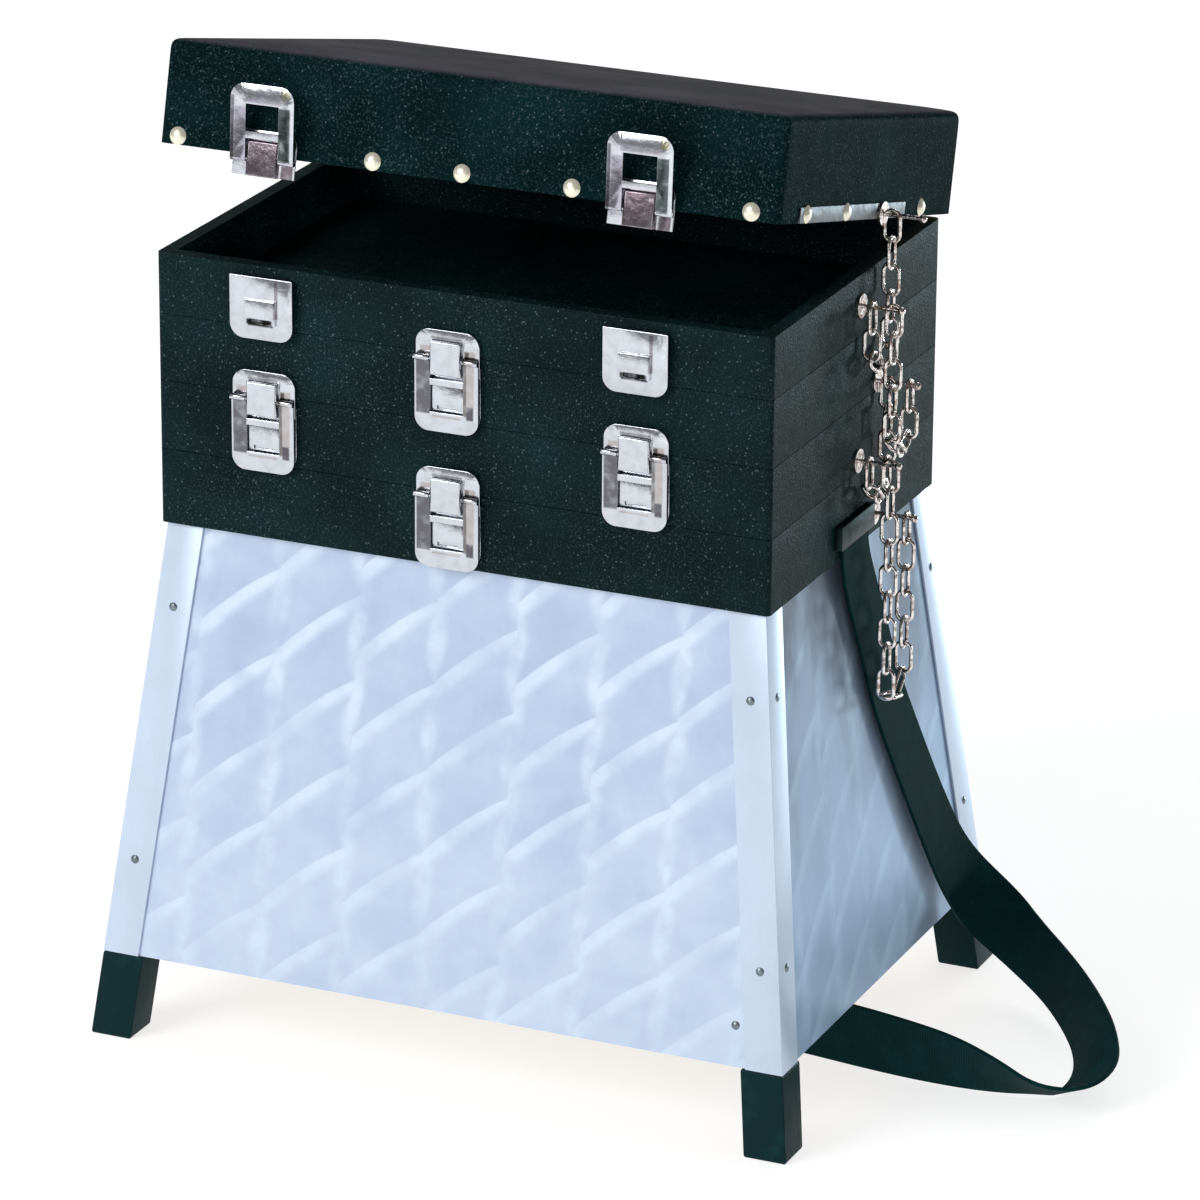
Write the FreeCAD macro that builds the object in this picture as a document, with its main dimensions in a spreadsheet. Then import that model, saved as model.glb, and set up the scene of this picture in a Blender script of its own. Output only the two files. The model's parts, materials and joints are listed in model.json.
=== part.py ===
import FreeCAD, Part
import math
import os
import re
import Sketcher

# Fishing seat box: a flared sheet-metal base on four feet, a wooden rim, three stacked trays
# hinged at the back, a padded lid, six snap latches, four stay chains and a webbing shoulder strap.
# Millimetres. X is the width, Y runs from the front (-) to the back (+), Z is up, origin on the
# floor under the middle of the case. The lid stands ajar and its two latches hang open.

Vector = FreeCAD.Vector
Placement = FreeCAD.Placement
Rotation = FreeCAD.Rotation
ACROSS = Vector(1, 0, 0)
UP = Vector(0, 0, 1)

SIZES = {
    # case and its tiers
    "case_width": 380,
    "case_depth": 252,
    "rim_height": 45,
    "tray_three_height": 41.5,
    "tray_two_height": 40,
    "tray_one_height": 36.5,
    "board": 9,
    "tray_floor": 4,
    "tier_gap": 0.4,
    "corner_round": 3,
    # flared base
    "base_height": 261,
    "top_inset": 3,
    "flare_side": 29,
    "flare_front": 36,
    "sheet": 1.2,
    "sheet_gap": 0.1,
    "angle_leg": 23,
    "angle_thickness": 1.6,
    "batten": 15,
    "floor_board": 6,
    # feet
    "foot_height": 51,
    "foot_width": 26,
    "foot_plug": 22,
    "foot_plug_width": 18,
    "foot_slack": 0.2,
    # rivets and nails
    "rivet_radius": 2.6,
    "rivet_head": 1.1,
    "rivet_high": 50,
    "rivet_low": 203,
    "floor_rivet_side": 31,
    "floor_rivet_up": 24,
    "nail_radius": 5.2,
    "nail_head": 2.4,
    "nail_up": 5,
    # lid
    "lid_height": 62,
    "lid_front": 4,
    "lid_back": 18,
    "lid_gap": 0.5,
    "lid_ajar": 14,
    "cover": 1.4,
    "crown": 3.2,
    "crown_reach": 20,
    "lid_wall": 12,
    "lid_board": 9,
    "lid_box_height": 37,
    "lid_lining": 4,
    "lid_slack": 0.2,
    "strip_front": 102,
    "strip_length": 164,
    "strip_width": 9,
    "strip_thickness": 1.2,
    # rear hinges
    "hinge_reach": 3.4,
    "lid_hinge_drop": 3,
    "hinge_column": 120,
    "hinge_width": 38,
    "hinge_leaf": 13,
    "hinge_sheet": 1.2,
    "knuckle_radius": 2.6,
    "knuckle_gap": 0.3,
    "hinge_pin": 1.3,
    "hinge_play": 0.05,
    # snap latches
    "latch_shift": -6,
    "latch_pitch": 115.5,
    "latch_width": 39.5,
    "latch_round": 8.5,
    "latch_edge": 0.4,
    "plate_rise": 14.5,
    "plate_drop": 11.5,
    "plate_depth": 2.7,
    "plate_skin": 0.9,
    "plate_wall": 1.2,
    "flap_width": 19.2,
    "flap_rise": 8.5,
    "flap_depth": 3.7,
    "flap_round": 1.2,
    "latch_pin": 0.9,
    "latch_play": 0.06,
    "latch_pin_out": 4.9,
    "latch_pin_drop": 2,
    "eye_radius": 1.8,
    "hasp_drop": 45.2,
    "hasp_back": 3.2,
    "hasp_sheet": 1.4,
    "arm_gap": 0.7,
    "bar_drop": 14,
    "bar_height": 4,
    "window_height": 15.7,
    "hasp_lean": 10,
    "keeper_rise": -5.5,
    "keeper_drop": 42.5,
    "keeper_skin": 1.2,
    "packer_inset": 2,
    "packer_foot": 3,
    "boss_out": 2.7,
    "boss_gap": 0.7,
    "slot_height": 2.4,
    "slot_width": 13,
    # stay chains and their hooks
    "link_length": 21,
    "link_width": 12,
    "link_wire": 2.4,
    "link_play": 0.4,
    "chain_inner": 7.5,
    "chain_outer": 20.5,
    "chain_rear": 30,
    "chain_turn": 60,
    "hook_wire": 1.3,
    "hook_base": 7,
    "hook_disc": 1.5,
    "hook_spare": 2,
    "hook_end": 2.4,
    "lid_hook_up": 3,
    "tray_one_hook": 18,
    "tray_two_hook": 5.5,
    "tray_three_hook": 7,
    "rim_hook": 12,
    "lid_chain_drop": 5,
    "tray_one_chain_drop": 5,
    "tray_two_chain_drop": 4,
    "tray_three_chain_drop": 9,
    # shoulder strap
    "strap_width": 38,
    "strap_thickness": 2.2,
    "strap_plate_width": 50,
    "strap_plate_height": 14,
    "strap_plate_depth": 4.8,
    "strap_slot": 3.3,
    "strap_plate_up": 8,
    "strap_y": -5,
}

PLACES = {
    "half_width": "case_width / 2",
    "half_depth": "case_depth / 2",
    "top_x": "half_width - top_inset",
    "top_y": "half_depth - top_inset",
    "foot_x": "top_x + flare_side",
    "foot_y": "top_y + flare_front",
    "z_case": "foot_height + base_height",
    "z_rim": "z_case + rim_height",
    "z_three": "z_rim + tray_three_height",
    "z_two": "z_three + tray_two_height",
    "z_one": "z_two + tray_one_height",
    "hinge_y": "half_depth + hinge_reach",
    "lid_hinge_z": "z_one - lid_hinge_drop",
    "lid_low": "lid_hinge_drop + lid_gap",
    "lid_front_y": "0 - hinge_reach - case_depth - lid_front",
    "lid_back_y": "lid_back - hinge_reach",
    "lid_hook_front": "(hinge_y - chain_rear + (lid_low + lid_hook_up) * sin(lid_ajar)) / cos(lid_ajar)",
    "half_latch": "latch_width / 2",
    "half_flap": "flap_width / 2",
    "half_window": "half_flap + arm_gap",
}


# The sheet of driving sizes, and a second sheet of places worked out from them
doc = FreeCAD.newDocument("SeatBox")


def fill_sheet(name, cells):
    sheet = doc.addObject("Spreadsheet::Sheet", name)
    for row, (alias, content) in enumerate(cells, start=1):
        sheet.set(f"A{row}", alias)
        sheet.set(f"B{row}", content)
        sheet.setAlias(f"B{row}", alias)
    return sheet


WORD = re.compile(r"[a-z]\w+")


def formula(text):
    """A formula in the names of the two sheets, with each name sent to its own sheet."""

    def home(word):
        name = word.group()
        sheet = "Sizes" if name in SIZES else "Places" if name in PLACES else None
        return f"{sheet}.{name}" if sheet else name

    return WORD.sub(home, text)


sizes_sheet = fill_sheet("Sizes", [(alias, str(number)) for alias, number in SIZES.items()])
places_sheet = fill_sheet("Places", [(alias, f"={formula(text)}") for alias, text in PLACES.items()])
doc.recompute()


def size(name):
    return float((sizes_sheet if name in SIZES else places_sheet).get(name))


# Bodies, sketches and features
sub_parts = []


def bind(thing, prop, text):
    thing.setExpression(prop, formula(text))


def body(label, kept=True):
    made = doc.addObject("PartDesign::Body", label)
    made.Label = label
    if kept:
        sub_parts.append(made)
    return made


def sketch(owner, role, lift="0"):
    """A sketch on one of the body's own origin planes, lifted along its normal."""
    made = owner.newObject("Sketcher::SketchObject", "outline")
    plane = [f for f in owner.Origin.OriginFeatures if f.Role == role][0]
    made.AttachmentSupport = [(plane, "")]
    made.MapMode = "FlatFace"
    bind(made, "AttachmentOffset.Base.z", lift)
    return made


def polygon(outline, corners):
    """A closed outline whose corners are formulas, each tied to the sketch's origin."""
    count = len(corners)
    first = outline.GeometryCount
    turn = 2 * math.pi / count
    ring = [Vector(10 * math.cos(k * turn), 10 * math.sin(k * turn), 0) for k in range(count)]
    for k in range(count):
        outline.addGeometry(Part.LineSegment(ring[k], ring[(k + 1) % count]), False)
    for k in range(count):
        following = first + (k + 1) % count
        outline.addConstraint(Sketcher.Constraint("Coincident", first + k, 2, following, 1))
    for k, corner in enumerate(corners):
        for kind, text in zip(("DistanceX", "DistanceY"), corner):
            at = outline.addConstraint(Sketcher.Constraint(kind, -1, 1, first + k, 1, 1.0))
            bind(outline, f"Constraints[{at}]", text)


def rectangle(outline, left, right, low, high):
    polygon(outline, [(left, low), (right, low), (right, high), (left, high)])


def centred(outline, half_x, half_y):
    rectangle(outline, f"0 - ({half_x})", half_x, f"0 - ({half_y})", half_y)


def circle(outline, x, y, radius):
    ring = outline.addGeometry(Part.Circle(Vector(0, 0, 0), UP, 1), False)
    at = outline.addConstraint(Sketcher.Constraint("Radius", ring, 1.0))
    bind(outline, f"Constraints[{at}]", radius)
    for kind, text in (("DistanceX", x), ("DistanceY", y)):
        at = outline.addConstraint(Sketcher.Constraint(kind, -1, 1, ring, 3, 1.0))
        bind(outline, f"Constraints[{at}]", text)


def pad(owner, outline, length, both_ways=False):
    made = owner.newObject("PartDesign::Pad", "pad")
    made.Profile = outline
    made.Midplane = both_ways
    bind(made, "Length", length)
    return made


def pocket(owner, outline, depth, forward=False, both_ways=False):
    """A cut against the sketch's normal, or along it when forward is set."""
    made = owner.newObject("PartDesign::Pocket", "pocket")
    made.Profile = outline
    made.Reversed = forward
    made.Midplane = both_ways
    bind(made, "Length", depth)
    return made


def loft(owner, low, high):
    made = owner.newObject("PartDesign::AdditiveLoft", "loft")
    made.Profile = low
    made.Sections = [high]
    made.Ruled = True
    return made


def rounded(owner, radius, chosen):
    """A fillet on the edges of the body's newest feature that chosen(edge) picks."""
    doc.recompute()
    base = owner.Tip
    edges = [f"Edge{n}" for n, edge in enumerate(base.Shape.Edges, start=1) if chosen(edge)]
    made = owner.newObject("PartDesign::Fillet", "fillet")
    made.Base = (base, edges)
    bind(made, "Radius", radius)
    return made


def direction(edge):
    return edge.tangentAt(edge.FirstParameter)


def upright_at(half_x, half_y):
    """Picks the upright edges at the four corners of a box of these half sizes."""

    def chosen(edge):
        middle = edge.CenterOfMass
        at_x = abs(abs(middle.x) - half_x) < 0.01
        at_y = abs(abs(middle.y) - half_y) < 0.01
        return at_x and at_y and abs(direction(edge).z) > 0.99

    return chosen


def feature(label, shape):
    """A sub-part made with Part's own functions: one shape, or several in one group."""
    made = doc.addObject("Part::Feature", label)
    made.Label = label
    made.Shape = shape
    sub_parts.append(made)
    return made


def copies(shape, placements):
    group = []
    for placement in placements:
        twin = shape.copy()
        twin.Placement = placement.multiply(shape.Placement)
        group.append(twin)
    return Part.makeCompound(group)


def box(x, y, z):
    """A box from three (low, high) pairs."""
    (x0, x1), (y0, y1), (z0, z1) = x, y, z
    return Part.makeBox(x1 - x0, y1 - y0, z1 - z0, Vector(x0, y0, z0))


def rod(start, end, radius):
    return Part.makeCylinder(radius, (end - start).Length, start, end - start)


def dome(radius, height):
    """A domed head that stands on the XY plane."""
    ball = (radius ** 2 + height ** 2) / (2 * height)
    latitude = math.degrees(math.asin((ball - height) / ball))
    return Part.makeSphere(ball, Vector(0, 0, height - ball), UP, latitude, 90, 360)


# Case: rim and trays
def rim_frame():
    frame = body("rim_frame")
    bind(frame, "Placement.Base.z", "z_case")
    outline = sketch(frame, "XY_Plane")
    centred(outline, "half_width", "half_depth")
    centred(outline, "half_width - board", "half_depth - board")
    pad(frame, outline, "rim_height - tier_gap")
    rounded(frame, "corner_round", upright_at(size("half_width"), size("half_depth")))


def tray(label, height, bottom):
    made = body(label)
    bind(made, "Placement.Base.z", bottom)
    outside = sketch(made, "XY_Plane")
    centred(outside, "half_width", "half_depth")
    pad(made, outside, f"{height} - tier_gap")
    inside = sketch(made, "XY_Plane", f"{height} - tier_gap")
    centred(inside, "half_width - board", "half_depth - board")
    pocket(made, inside, f"{height} - tier_gap - tray_floor")
    rounded(made, "corner_round", upright_at(size("half_width"), size("half_depth")))


# Flared base
def base_panels():
    """Front and back sheets run the full width, and the side sheets fit between them."""
    for label, side in (("front_panel", -1), ("back_panel", 1)):
        panel = body(label)
        sections = []
        for height, x, y in (("foot_height", "foot_x", "foot_y"), ("z_case", "top_x", "top_y")):
            outline = sketch(panel, "XY_Plane", height)
            half = f"{x} - angle_thickness"
            outer = f"{side} * ({y} - angle_thickness)"
            inner = f"{side} * ({y} - angle_thickness - sheet)"
            rectangle(outline, f"0 - ({half})", half, outer, inner)
            sections.append(outline)
        loft(panel, *sections)
    for label, side in (("left_panel", -1), ("right_panel", 1)):
        panel = body(label)
        sections = []
        for height, x, y in (("foot_height", "foot_x", "foot_y"), ("z_case", "top_x", "top_y")):
            outline = sketch(panel, "XY_Plane", height)
            half = f"{y} - angle_thickness - sheet - sheet_gap"
            outer = f"{side} * ({x} - angle_thickness)"
            inner = f"{side} * ({x} - angle_thickness - sheet)"
            rectangle(outline, outer, inner, f"0 - ({half})", half)
            sections.append(outline)
        loft(panel, *sections)


CORNERS = {
    "front_left": (-1, -1),
    "front_right": (1, -1),
    "back_left": (-1, 1),
    "back_right": (1, 1),
}


def corner_angles():
    for name, (side_x, side_y) in CORNERS.items():
        angle = body(f"corner_angle_{name}")
        sections = []
        for height, x, y in (("foot_height", "foot_x", "foot_y"), ("z_case", "top_x", "top_y")):
            outline = sketch(angle, "XY_Plane", height)
            corners = [
                (x, y),
                (f"{x} - angle_leg", y),
                (f"{x} - angle_leg", f"{y} - angle_thickness"),
                (f"{x} - angle_thickness", f"{y} - angle_thickness"),
                (f"{x} - angle_thickness", f"{y} - angle_leg"),
                (x, f"{y} - angle_leg"),
            ]
            polygon(outline, [(f"{side_x} * ({a})", f"{side_y} * ({b})") for a, b in corners])
            sections.append(outline)
        loft(angle, *sections)


def feet():
    """Each foot carries on the line of its corner, with a plug that fits up inside the angle."""
    slope_x = "flare_side / base_height"
    slope_y = "flare_front / base_height"
    plug_inset = "angle_thickness + sheet + foot_slack"
    for name, (side_x, side_y) in CORNERS.items():
        foot = body(f"foot_{name}")
        levels = [
            ("0", "foot_height", "0", "foot_width"),
            ("foot_height", "0", "0", "foot_width"),
            ("foot_height", "0", plug_inset, "foot_plug_width"),
            ("foot_height + foot_plug", "0 - foot_plug", plug_inset, "foot_plug_width"),
        ]
        sections = []
        for height, below, inset, width in levels:
            x = f"foot_x + ({below}) * {slope_x} - ({inset})"
            y = f"foot_y + ({below}) * {slope_y} - ({inset})"
            outline = sketch(foot, "XY_Plane", height)
            rectangle(
                outline,
                f"{side_x} * ({x})",
                f"{side_x} * ({x} - {width})",
                f"{side_y} * ({y})",
                f"{side_y} * ({y} - {width})",
            )
            sections.append(outline)
        loft(foot, sections[0], sections[1])
        loft(foot, sections[2], sections[3])


def floor_panel():
    panel = body("floor_panel")
    sections = []
    for rise in ("foot_plug", "foot_plug + floor_board"):
        outline = sketch(panel, "XY_Plane", f"foot_height + {rise}")
        inset = "angle_thickness + sheet + sheet_gap"
        half_x = f"foot_x - ({rise}) * flare_side / base_height - ({inset})"
        half_y = f"foot_y - ({rise}) * flare_front / base_height - ({inset})"
        centred(outline, half_x, half_y)
        sections.append(outline)
    loft(panel, *sections)


def top_battens():
    battens = body("top_battens")
    outline = sketch(battens, "XY_Plane", "z_case - batten")
    inset = "angle_thickness + sheet + foot_slack"
    centred(outline, f"top_x - ({inset})", f"top_y - ({inset})")
    centred(outline, f"top_x - ({inset}) - batten", f"top_y - ({inset}) - batten")
    pad(battens, outline, "batten")


def panel_rivets():
    """Two rivets in each face of each corner angle, and one low in the front sheet."""
    lean_front = math.atan2(size("flare_front"), size("base_height"))
    lean_side = math.atan2(size("flare_side"), size("base_height"))
    head = dome(size("rivet_radius"), size("rivet_head"))
    middle = size("angle_leg") / 2
    placements = []

    def seat(x, y, z, towards_x, towards_y, lean):
        outward = Vector(towards_x * math.cos(lean), towards_y * math.cos(lean), math.sin(lean))
        placements.append(Placement(Vector(x, y, z), Rotation(UP, outward)))

    for side_x, side_y in CORNERS.values():
        for drop in (size("rivet_high"), size("rivet_low")):
            share = drop / size("base_height")
            x = size("top_x") + share * size("flare_side")
            y = size("top_y") + share * size("flare_front")
            z = size("z_case") - drop
            seat(side_x * (x - middle), side_y * y, z, 0, side_y, lean_front)
            seat(side_x * x, side_y * (y - middle), z, side_x, 0, lean_side)
    rise = size("floor_rivet_up")
    y = size("foot_y") - rise * math.tan(lean_front) - size("angle_thickness")
    seat(size("foot_x") - size("floor_rivet_side"), -y, size("foot_height") + rise, 0, -1, lean_front)
    feature("panel_rivets", copies(head, placements))


# Lid, in a frame whose origin is the middle of its hinge axis
def lid_placement():
    opened = Rotation(ACROSS, -size("lid_ajar"))
    return Placement(Vector(0, size("hinge_y"), size("lid_hinge_z")), opened)


def lid_body(label):
    made = body(label)
    made.Placement = lid_placement()
    return made


def lid_outline(owner, lift, inset):
    outline = sketch(owner, "XY_Plane", lift)
    side = f"half_width - ({inset})"
    rectangle(outline, f"0 - ({side})", side, f"lid_front_y + ({inset})", f"lid_back_y - ({inset})")
    return outline


def seat_cover():
    """The covering is pulled over the pad and down the sides, open underneath."""
    made = lid_body("seat_cover")
    crown_foot = "lid_low + lid_height - crown"
    pad(made, lid_outline(made, "lid_low", "0"), "lid_height - crown")
    half = size("half_width")
    middle = (size("lid_front_y") + size("lid_back_y")) / 2
    half_y = (size("lid_back_y") - size("lid_front_y")) / 2

    def corner(edge):
        at = edge.CenterOfMass
        outer = abs(abs(at.x) - half) < 0.01 and abs(abs(at.y - middle) - half_y) < 0.01
        return outer and abs(direction(edge).z) > 0.99

    rounded(made, "corner_round", corner)
    loft(
        made,
        lid_outline(made, crown_foot, "corner_round"),
        lid_outline(made, "lid_low + lid_height", "crown_reach"),
    )
    pocket(made, lid_outline(made, "lid_low", "cover"), "lid_height - crown - cover", forward=True)


def seat_pad():
    made = lid_body("seat_pad")
    top = "lid_low + lid_height - crown - cover - lid_slack"
    outline = lid_outline(made, "lid_low + lid_box_height", "cover + lid_slack")
    pad(made, outline, f"{top} - lid_low - lid_box_height")


def lid_box():
    made = lid_body("lid_box")
    outside = "cover + lid_slack"
    pad(made, lid_outline(made, "lid_low", outside), "lid_box_height")
    inside = lid_outline(made, "lid_low", f"{outside} + lid_wall")
    pocket(made, inside, "lid_box_height - lid_board", forward=True)


def lid_lining():
    made = lid_body("lid_lining")
    inset = "cover + lid_slack + lid_wall + lid_slack"
    pad(made, lid_outline(made, "lid_low", inset), "lid_lining")


def on_lid(x, y, z, turn=None):
    """A placement in the lid's frame, turned with the lid."""
    return lid_placement().multiply(Placement(Vector(x, y, z), turn or Rotation()))


# Where the nails are, as shares of half the case's width or depth
FRONT_NAILS = (-0.937, -0.295, -0.005, 0.347, 0.911)
BACK_NAILS = (-0.937, -0.316, 0, 0.316, 0.937)
SIDE_NAILS = (-0.73, -0.246, 0.238, 0.722)


def lid_nails():
    """Domed nails along the lower edge, left out where the latches and the hook are."""
    head = dome(size("nail_radius"), size("nail_head"))
    up = size("lid_low") + size("nail_up")
    half = size("half_width")
    to_front, to_back = Rotation(UP, Vector(0, -1, 0)), Rotation(UP, Vector(0, 1, 0))
    to_left, to_right = Rotation(UP, Vector(-1, 0, 0)), Rotation(UP, Vector(1, 0, 0))
    strip_low = -size("strip_front")
    strip_high = strip_low + size("strip_length")
    hook = size("hinge_y") - size("lid_hook_front")
    hook_room = size("hook_base") + size("nail_radius")
    placements = [on_lid(share * half, size("lid_front_y"), up, to_front) for share in FRONT_NAILS]
    placements += [on_lid(share * half, size("lid_back_y"), up, to_back) for share in BACK_NAILS]
    for share in SIDE_NAILS:
        along = share * size("half_depth")
        y = along - size("hinge_y")
        on_strip = strip_low < along < strip_high
        right = half + (size("strip_thickness") if on_strip else 0)
        placements.append(on_lid(-half, y, up, to_left))
        if abs(along - hook) > hook_room:
            placements.append(on_lid(right, y, up, to_right))
    feature("lid_nails", copies(head, placements))


def lid_side_strip():
    made = lid_body("lid_side_strip")
    outline = sketch(made, "YZ_Plane", "half_width")
    start = "0 - strip_front - hinge_y"
    rectangle(outline, start, f"{start} + strip_length", "lid_low", "lid_low + strip_width")
    pad(made, outline, "strip_thickness")


# Rear hinges
def hinge_shares():
    """Each hinge has five knuckles: the lower leaf holds the first, third and last."""
    width = size("hinge_width")
    share = width / 5
    trim = size("knuckle_gap") / 2
    spans = []
    for k in range(5):
        low = -width / 2 + k * share + (trim if k else 0)
        high = -width / 2 + (k + 1) * share - (trim if k < 4 else 0)
        spans.append((low, high))
    return spans[0::2], spans[1::2]


def hinge_leaf(spans, y, z):
    """A leaf over the y and z ranges, with a knuckle round the origin on each span."""
    half = size("hinge_width") / 2
    trim = size("knuckle_gap")
    radius = size("knuckle_radius")
    clear = radius + trim
    whole = box((-half, half), y, z)
    for low, high in hinge_shares()[0] + hinge_shares()[1]:
        if (low, high) not in spans:
            gap = rod(Vector(low - trim, 0, 0), Vector(high + trim, 0, 0), clear)
            whole = whole.cut(gap)
    for low, high in spans:
        whole = whole.fuse(rod(Vector(low, 0, 0), Vector(high, 0, 0), radius))
    bore = size("hinge_pin") + size("hinge_play")
    return whole.cut(rod(Vector(-half, 0, 0), Vector(half, 0, 0), bore)).removeSplitter()


def hinge_group(below, above, axis_low, axis_high):
    """Leaves of one tier: those that hang from its upper joint and stand on its lower joint."""
    reach = size("hinge_reach")
    back = (-reach, size("hinge_sheet") - reach)
    leaf = size("hinge_leaf")
    low_spans, high_spans = hinge_shares()
    placements = [size("hinge_column") * side for side in (-1, 1)]
    solids = []
    for x in placements:
        if below:
            shape = hinge_leaf(high_spans, back, (size("tier_gap"), leaf))
            solids.append(copies(shape, [Placement(Vector(x, size("hinge_y"), axis_low), Rotation())]))
        if above:
            drop = size("lid_hinge_drop") if axis_high == size("lid_hinge_z") else 0
            shape = hinge_leaf(low_spans, back, (-leaf, min(drop, size("knuckle_radius"))))
            solids.append(copies(shape, [Placement(Vector(x, size("hinge_y"), axis_high), Rotation())]))
    return Part.makeCompound([solid for group in solids for solid in group.Solids])


def hinge_pins(axis_z):
    half = size("hinge_width") / 2
    pin = rod(Vector(-half, 0, 0), Vector(half, 0, 0), size("hinge_pin"))
    columns = [size("hinge_column") * side for side in (-1, 1)]
    return copies(pin, [Placement(Vector(x, size("hinge_y"), axis_z), Rotation()) for x in columns])


def rear_hinges():
    z_rim, z_three, z_two = size("z_rim"), size("z_three"), size("z_two")
    z_lid = size("lid_hinge_z")
    levels = [
        ("rim", False, True, 0, z_rim),
        ("tray_three", True, True, z_rim, z_three),
        ("tray_two", True, True, z_three, z_two),
        ("tray_one", True, True, z_two, z_lid),
    ]
    for name, below, above, axis_low, axis_high in levels:
        feature(f"{name}_hinge_leaves", hinge_group(below, above, axis_low, axis_high))
        feature(f"{name}_hinge_pins", hinge_pins(axis_high))
    underside = size("lid_low")
    lying = (underside - size("hinge_sheet"), underside)
    shape = hinge_leaf(hinge_shares()[1], (-size("hinge_sheet"), size("hinge_leaf")), lying)
    columns = [size("hinge_column") * side for side in (-1, 1)]
    feature("lid_hinge_leaves", copies(shape, [on_lid(x, 0, 0) for x in columns]))


# Snap latches, in a frame on the front face at the split between two tiers
def latch_plate():
    """A pressed plate, hollow behind, with a raised flap that holds the hasp's pin."""
    made = body("latch_plate", kept=False)
    outline = sketch(made, "XZ_Plane")
    rectangle(outline, "0 - half_latch", "half_latch", "0 - plate_drop", "plate_rise")
    pad(made, outline, "plate_depth")
    half = size("half_latch")
    rise = size("plate_rise")

    def top_corner(edge):
        at = edge.CenterOfMass
        outer = abs(abs(at.x) - half) < 0.01 and abs(at.z - rise) < 0.01
        return outer and abs(direction(edge).y) > 0.99

    rounded(made, "latch_round", top_corner)
    hollow = sketch(made, "XZ_Plane")
    inner, top, cut = "half_latch - plate_wall", "plate_rise - plate_wall", "latch_round * 0.7"
    polygon(
        hollow,
        [
            (f"0 - ({inner})", "0 - plate_drop - 1"),
            (inner, "0 - plate_drop - 1"),
            (inner, f"{top} - {cut}"),
            (f"{inner} - {cut}", top),
            (f"0 - ({inner} - {cut})", top),
            (f"0 - ({inner})", f"{top} - {cut}"),
        ],
    )
    pocket(made, hollow, "plate_depth - plate_skin", forward=True)
    hanging = sketch(made, "XZ_Plane")
    rectangle(hanging, "0 - latch_width", "latch_width", "0 - plate_drop - 1", "tier_gap")
    pocket(made, hanging, "plate_depth - plate_skin", forward=True)
    flap = sketch(made, "XZ_Plane", "plate_depth")
    rectangle(flap, "0 - half_flap", "half_flap", "0 - plate_drop", "flap_rise")
    pad(made, flap, "flap_depth")
    front = -size("plate_depth") - size("flap_depth")
    rounded(made, "flap_round", lambda edge: abs(edge.CenterOfMass.y - front) < 0.01)
    bore = sketch(made, "YZ_Plane")
    circle(bore, "0 - latch_pin_out", "0 - latch_pin_drop", "latch_pin + latch_play")
    pocket(made, bore, "latch_width", both_ways=True)
    doc.recompute()
    return made.Shape


def latch_hasp():
    """A windowed frame on two arms, with its pin fast in their eyes. Its origin is the pin."""
    made = body("latch_hasp", kept=False)
    outline = sketch(made, "XZ_Plane", "hasp_back - latch_pin_out")
    low = "latch_pin_drop - hasp_drop"
    bar_top = "latch_pin_drop - bar_drop"
    polygon(
        outline,
        [
            ("0 - half_latch", low),
            ("half_latch", low),
            ("half_latch", "0"),
            ("half_window", "0"),
            ("half_window", bar_top),
            ("0 - half_window", bar_top),
            ("0 - half_window", "0"),
            ("0 - half_latch", "0"),
        ],
    )
    window_top = f"{bar_top} - bar_height"
    rectangle(
        outline, "0 - half_window", "half_window", f"{window_top} - window_height", window_top
    )
    pad(made, outline, "hasp_sheet")
    half = size("half_latch")
    bottom = size("latch_pin_drop") - size("hasp_drop")

    def low_corner(edge):
        at = edge.CenterOfMass
        outer = abs(abs(at.x) - half) < 0.01 and abs(at.z - bottom) < 0.01
        return outer and abs(direction(edge).y) > 0.99

    rounded(made, "latch_round", low_corner)
    front = size("latch_pin_out") - size("hasp_back") - size("hasp_sheet")
    rounded(
        made,
        "latch_edge",
        lambda edge: abs(edge.CenterOfMass.y - front) < 0.01 and edge.CenterOfMass.z < -1,
    )
    doc.recompute()
    shape = made.Shape
    inner = size("half_window")
    for side in (-1, 1):
        eye = rod(Vector(side * inner, 0, 0), Vector(side * half, 0, 0), size("eye_radius"))
        shape = shape.fuse(eye)
    pin = rod(Vector(-half, 0, 0), Vector(half, 0, 0), size("latch_pin"))
    return shape.fuse(pin).removeSplitter()


def latch_keeper(packer="0"):
    """A plate with a low boss under the hasp's window, on a packer where the lid overhangs."""
    made = body("latch_keeper", kept=False)
    outline = sketch(made, "XZ_Plane", packer)
    rectangle(outline, "0 - half_latch", "half_latch", "0 - keeper_drop", "keeper_rise")
    pad(made, outline, "keeper_skin")
    half = size("half_latch")
    bottom = -size("keeper_drop")

    def low_corner(edge):
        at = edge.CenterOfMass
        outer = abs(abs(at.x) - half) < 0.01 and abs(at.z - bottom) < 0.01
        return outer and abs(direction(edge).y) > 0.99

    rounded(made, "latch_round", low_corner)
    window_top = "0 - bar_drop - bar_height"
    boss = sketch(made, "XZ_Plane", packer)
    rectangle(
        boss,
        "0 - half_window + boss_gap",
        "half_window - boss_gap",
        f"{window_top} - window_height + boss_gap",
        f"{window_top} - boss_gap",
    )
    pad(made, boss, "boss_out")
    slot = sketch(made, "XZ_Plane", f"{packer} + boss_out")
    slot_low = f"{window_top} - window_height + 2 * boss_gap"
    rectangle(
        slot, "0 - slot_width / 2", "slot_width / 2", slot_low, f"{slot_low} + slot_height"
    )
    pocket(made, slot, "boss_out - keeper_skin")
    if packer != "0":
        block = sketch(made, "XZ_Plane")
        rectangle(
            block,
            "packer_inset - half_latch",
            "half_latch - packer_inset",
            "packer_foot - tray_one_height",
            "keeper_rise",
        )
        pad(made, block, packer)
    doc.recompute()
    return made.Shape


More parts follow.
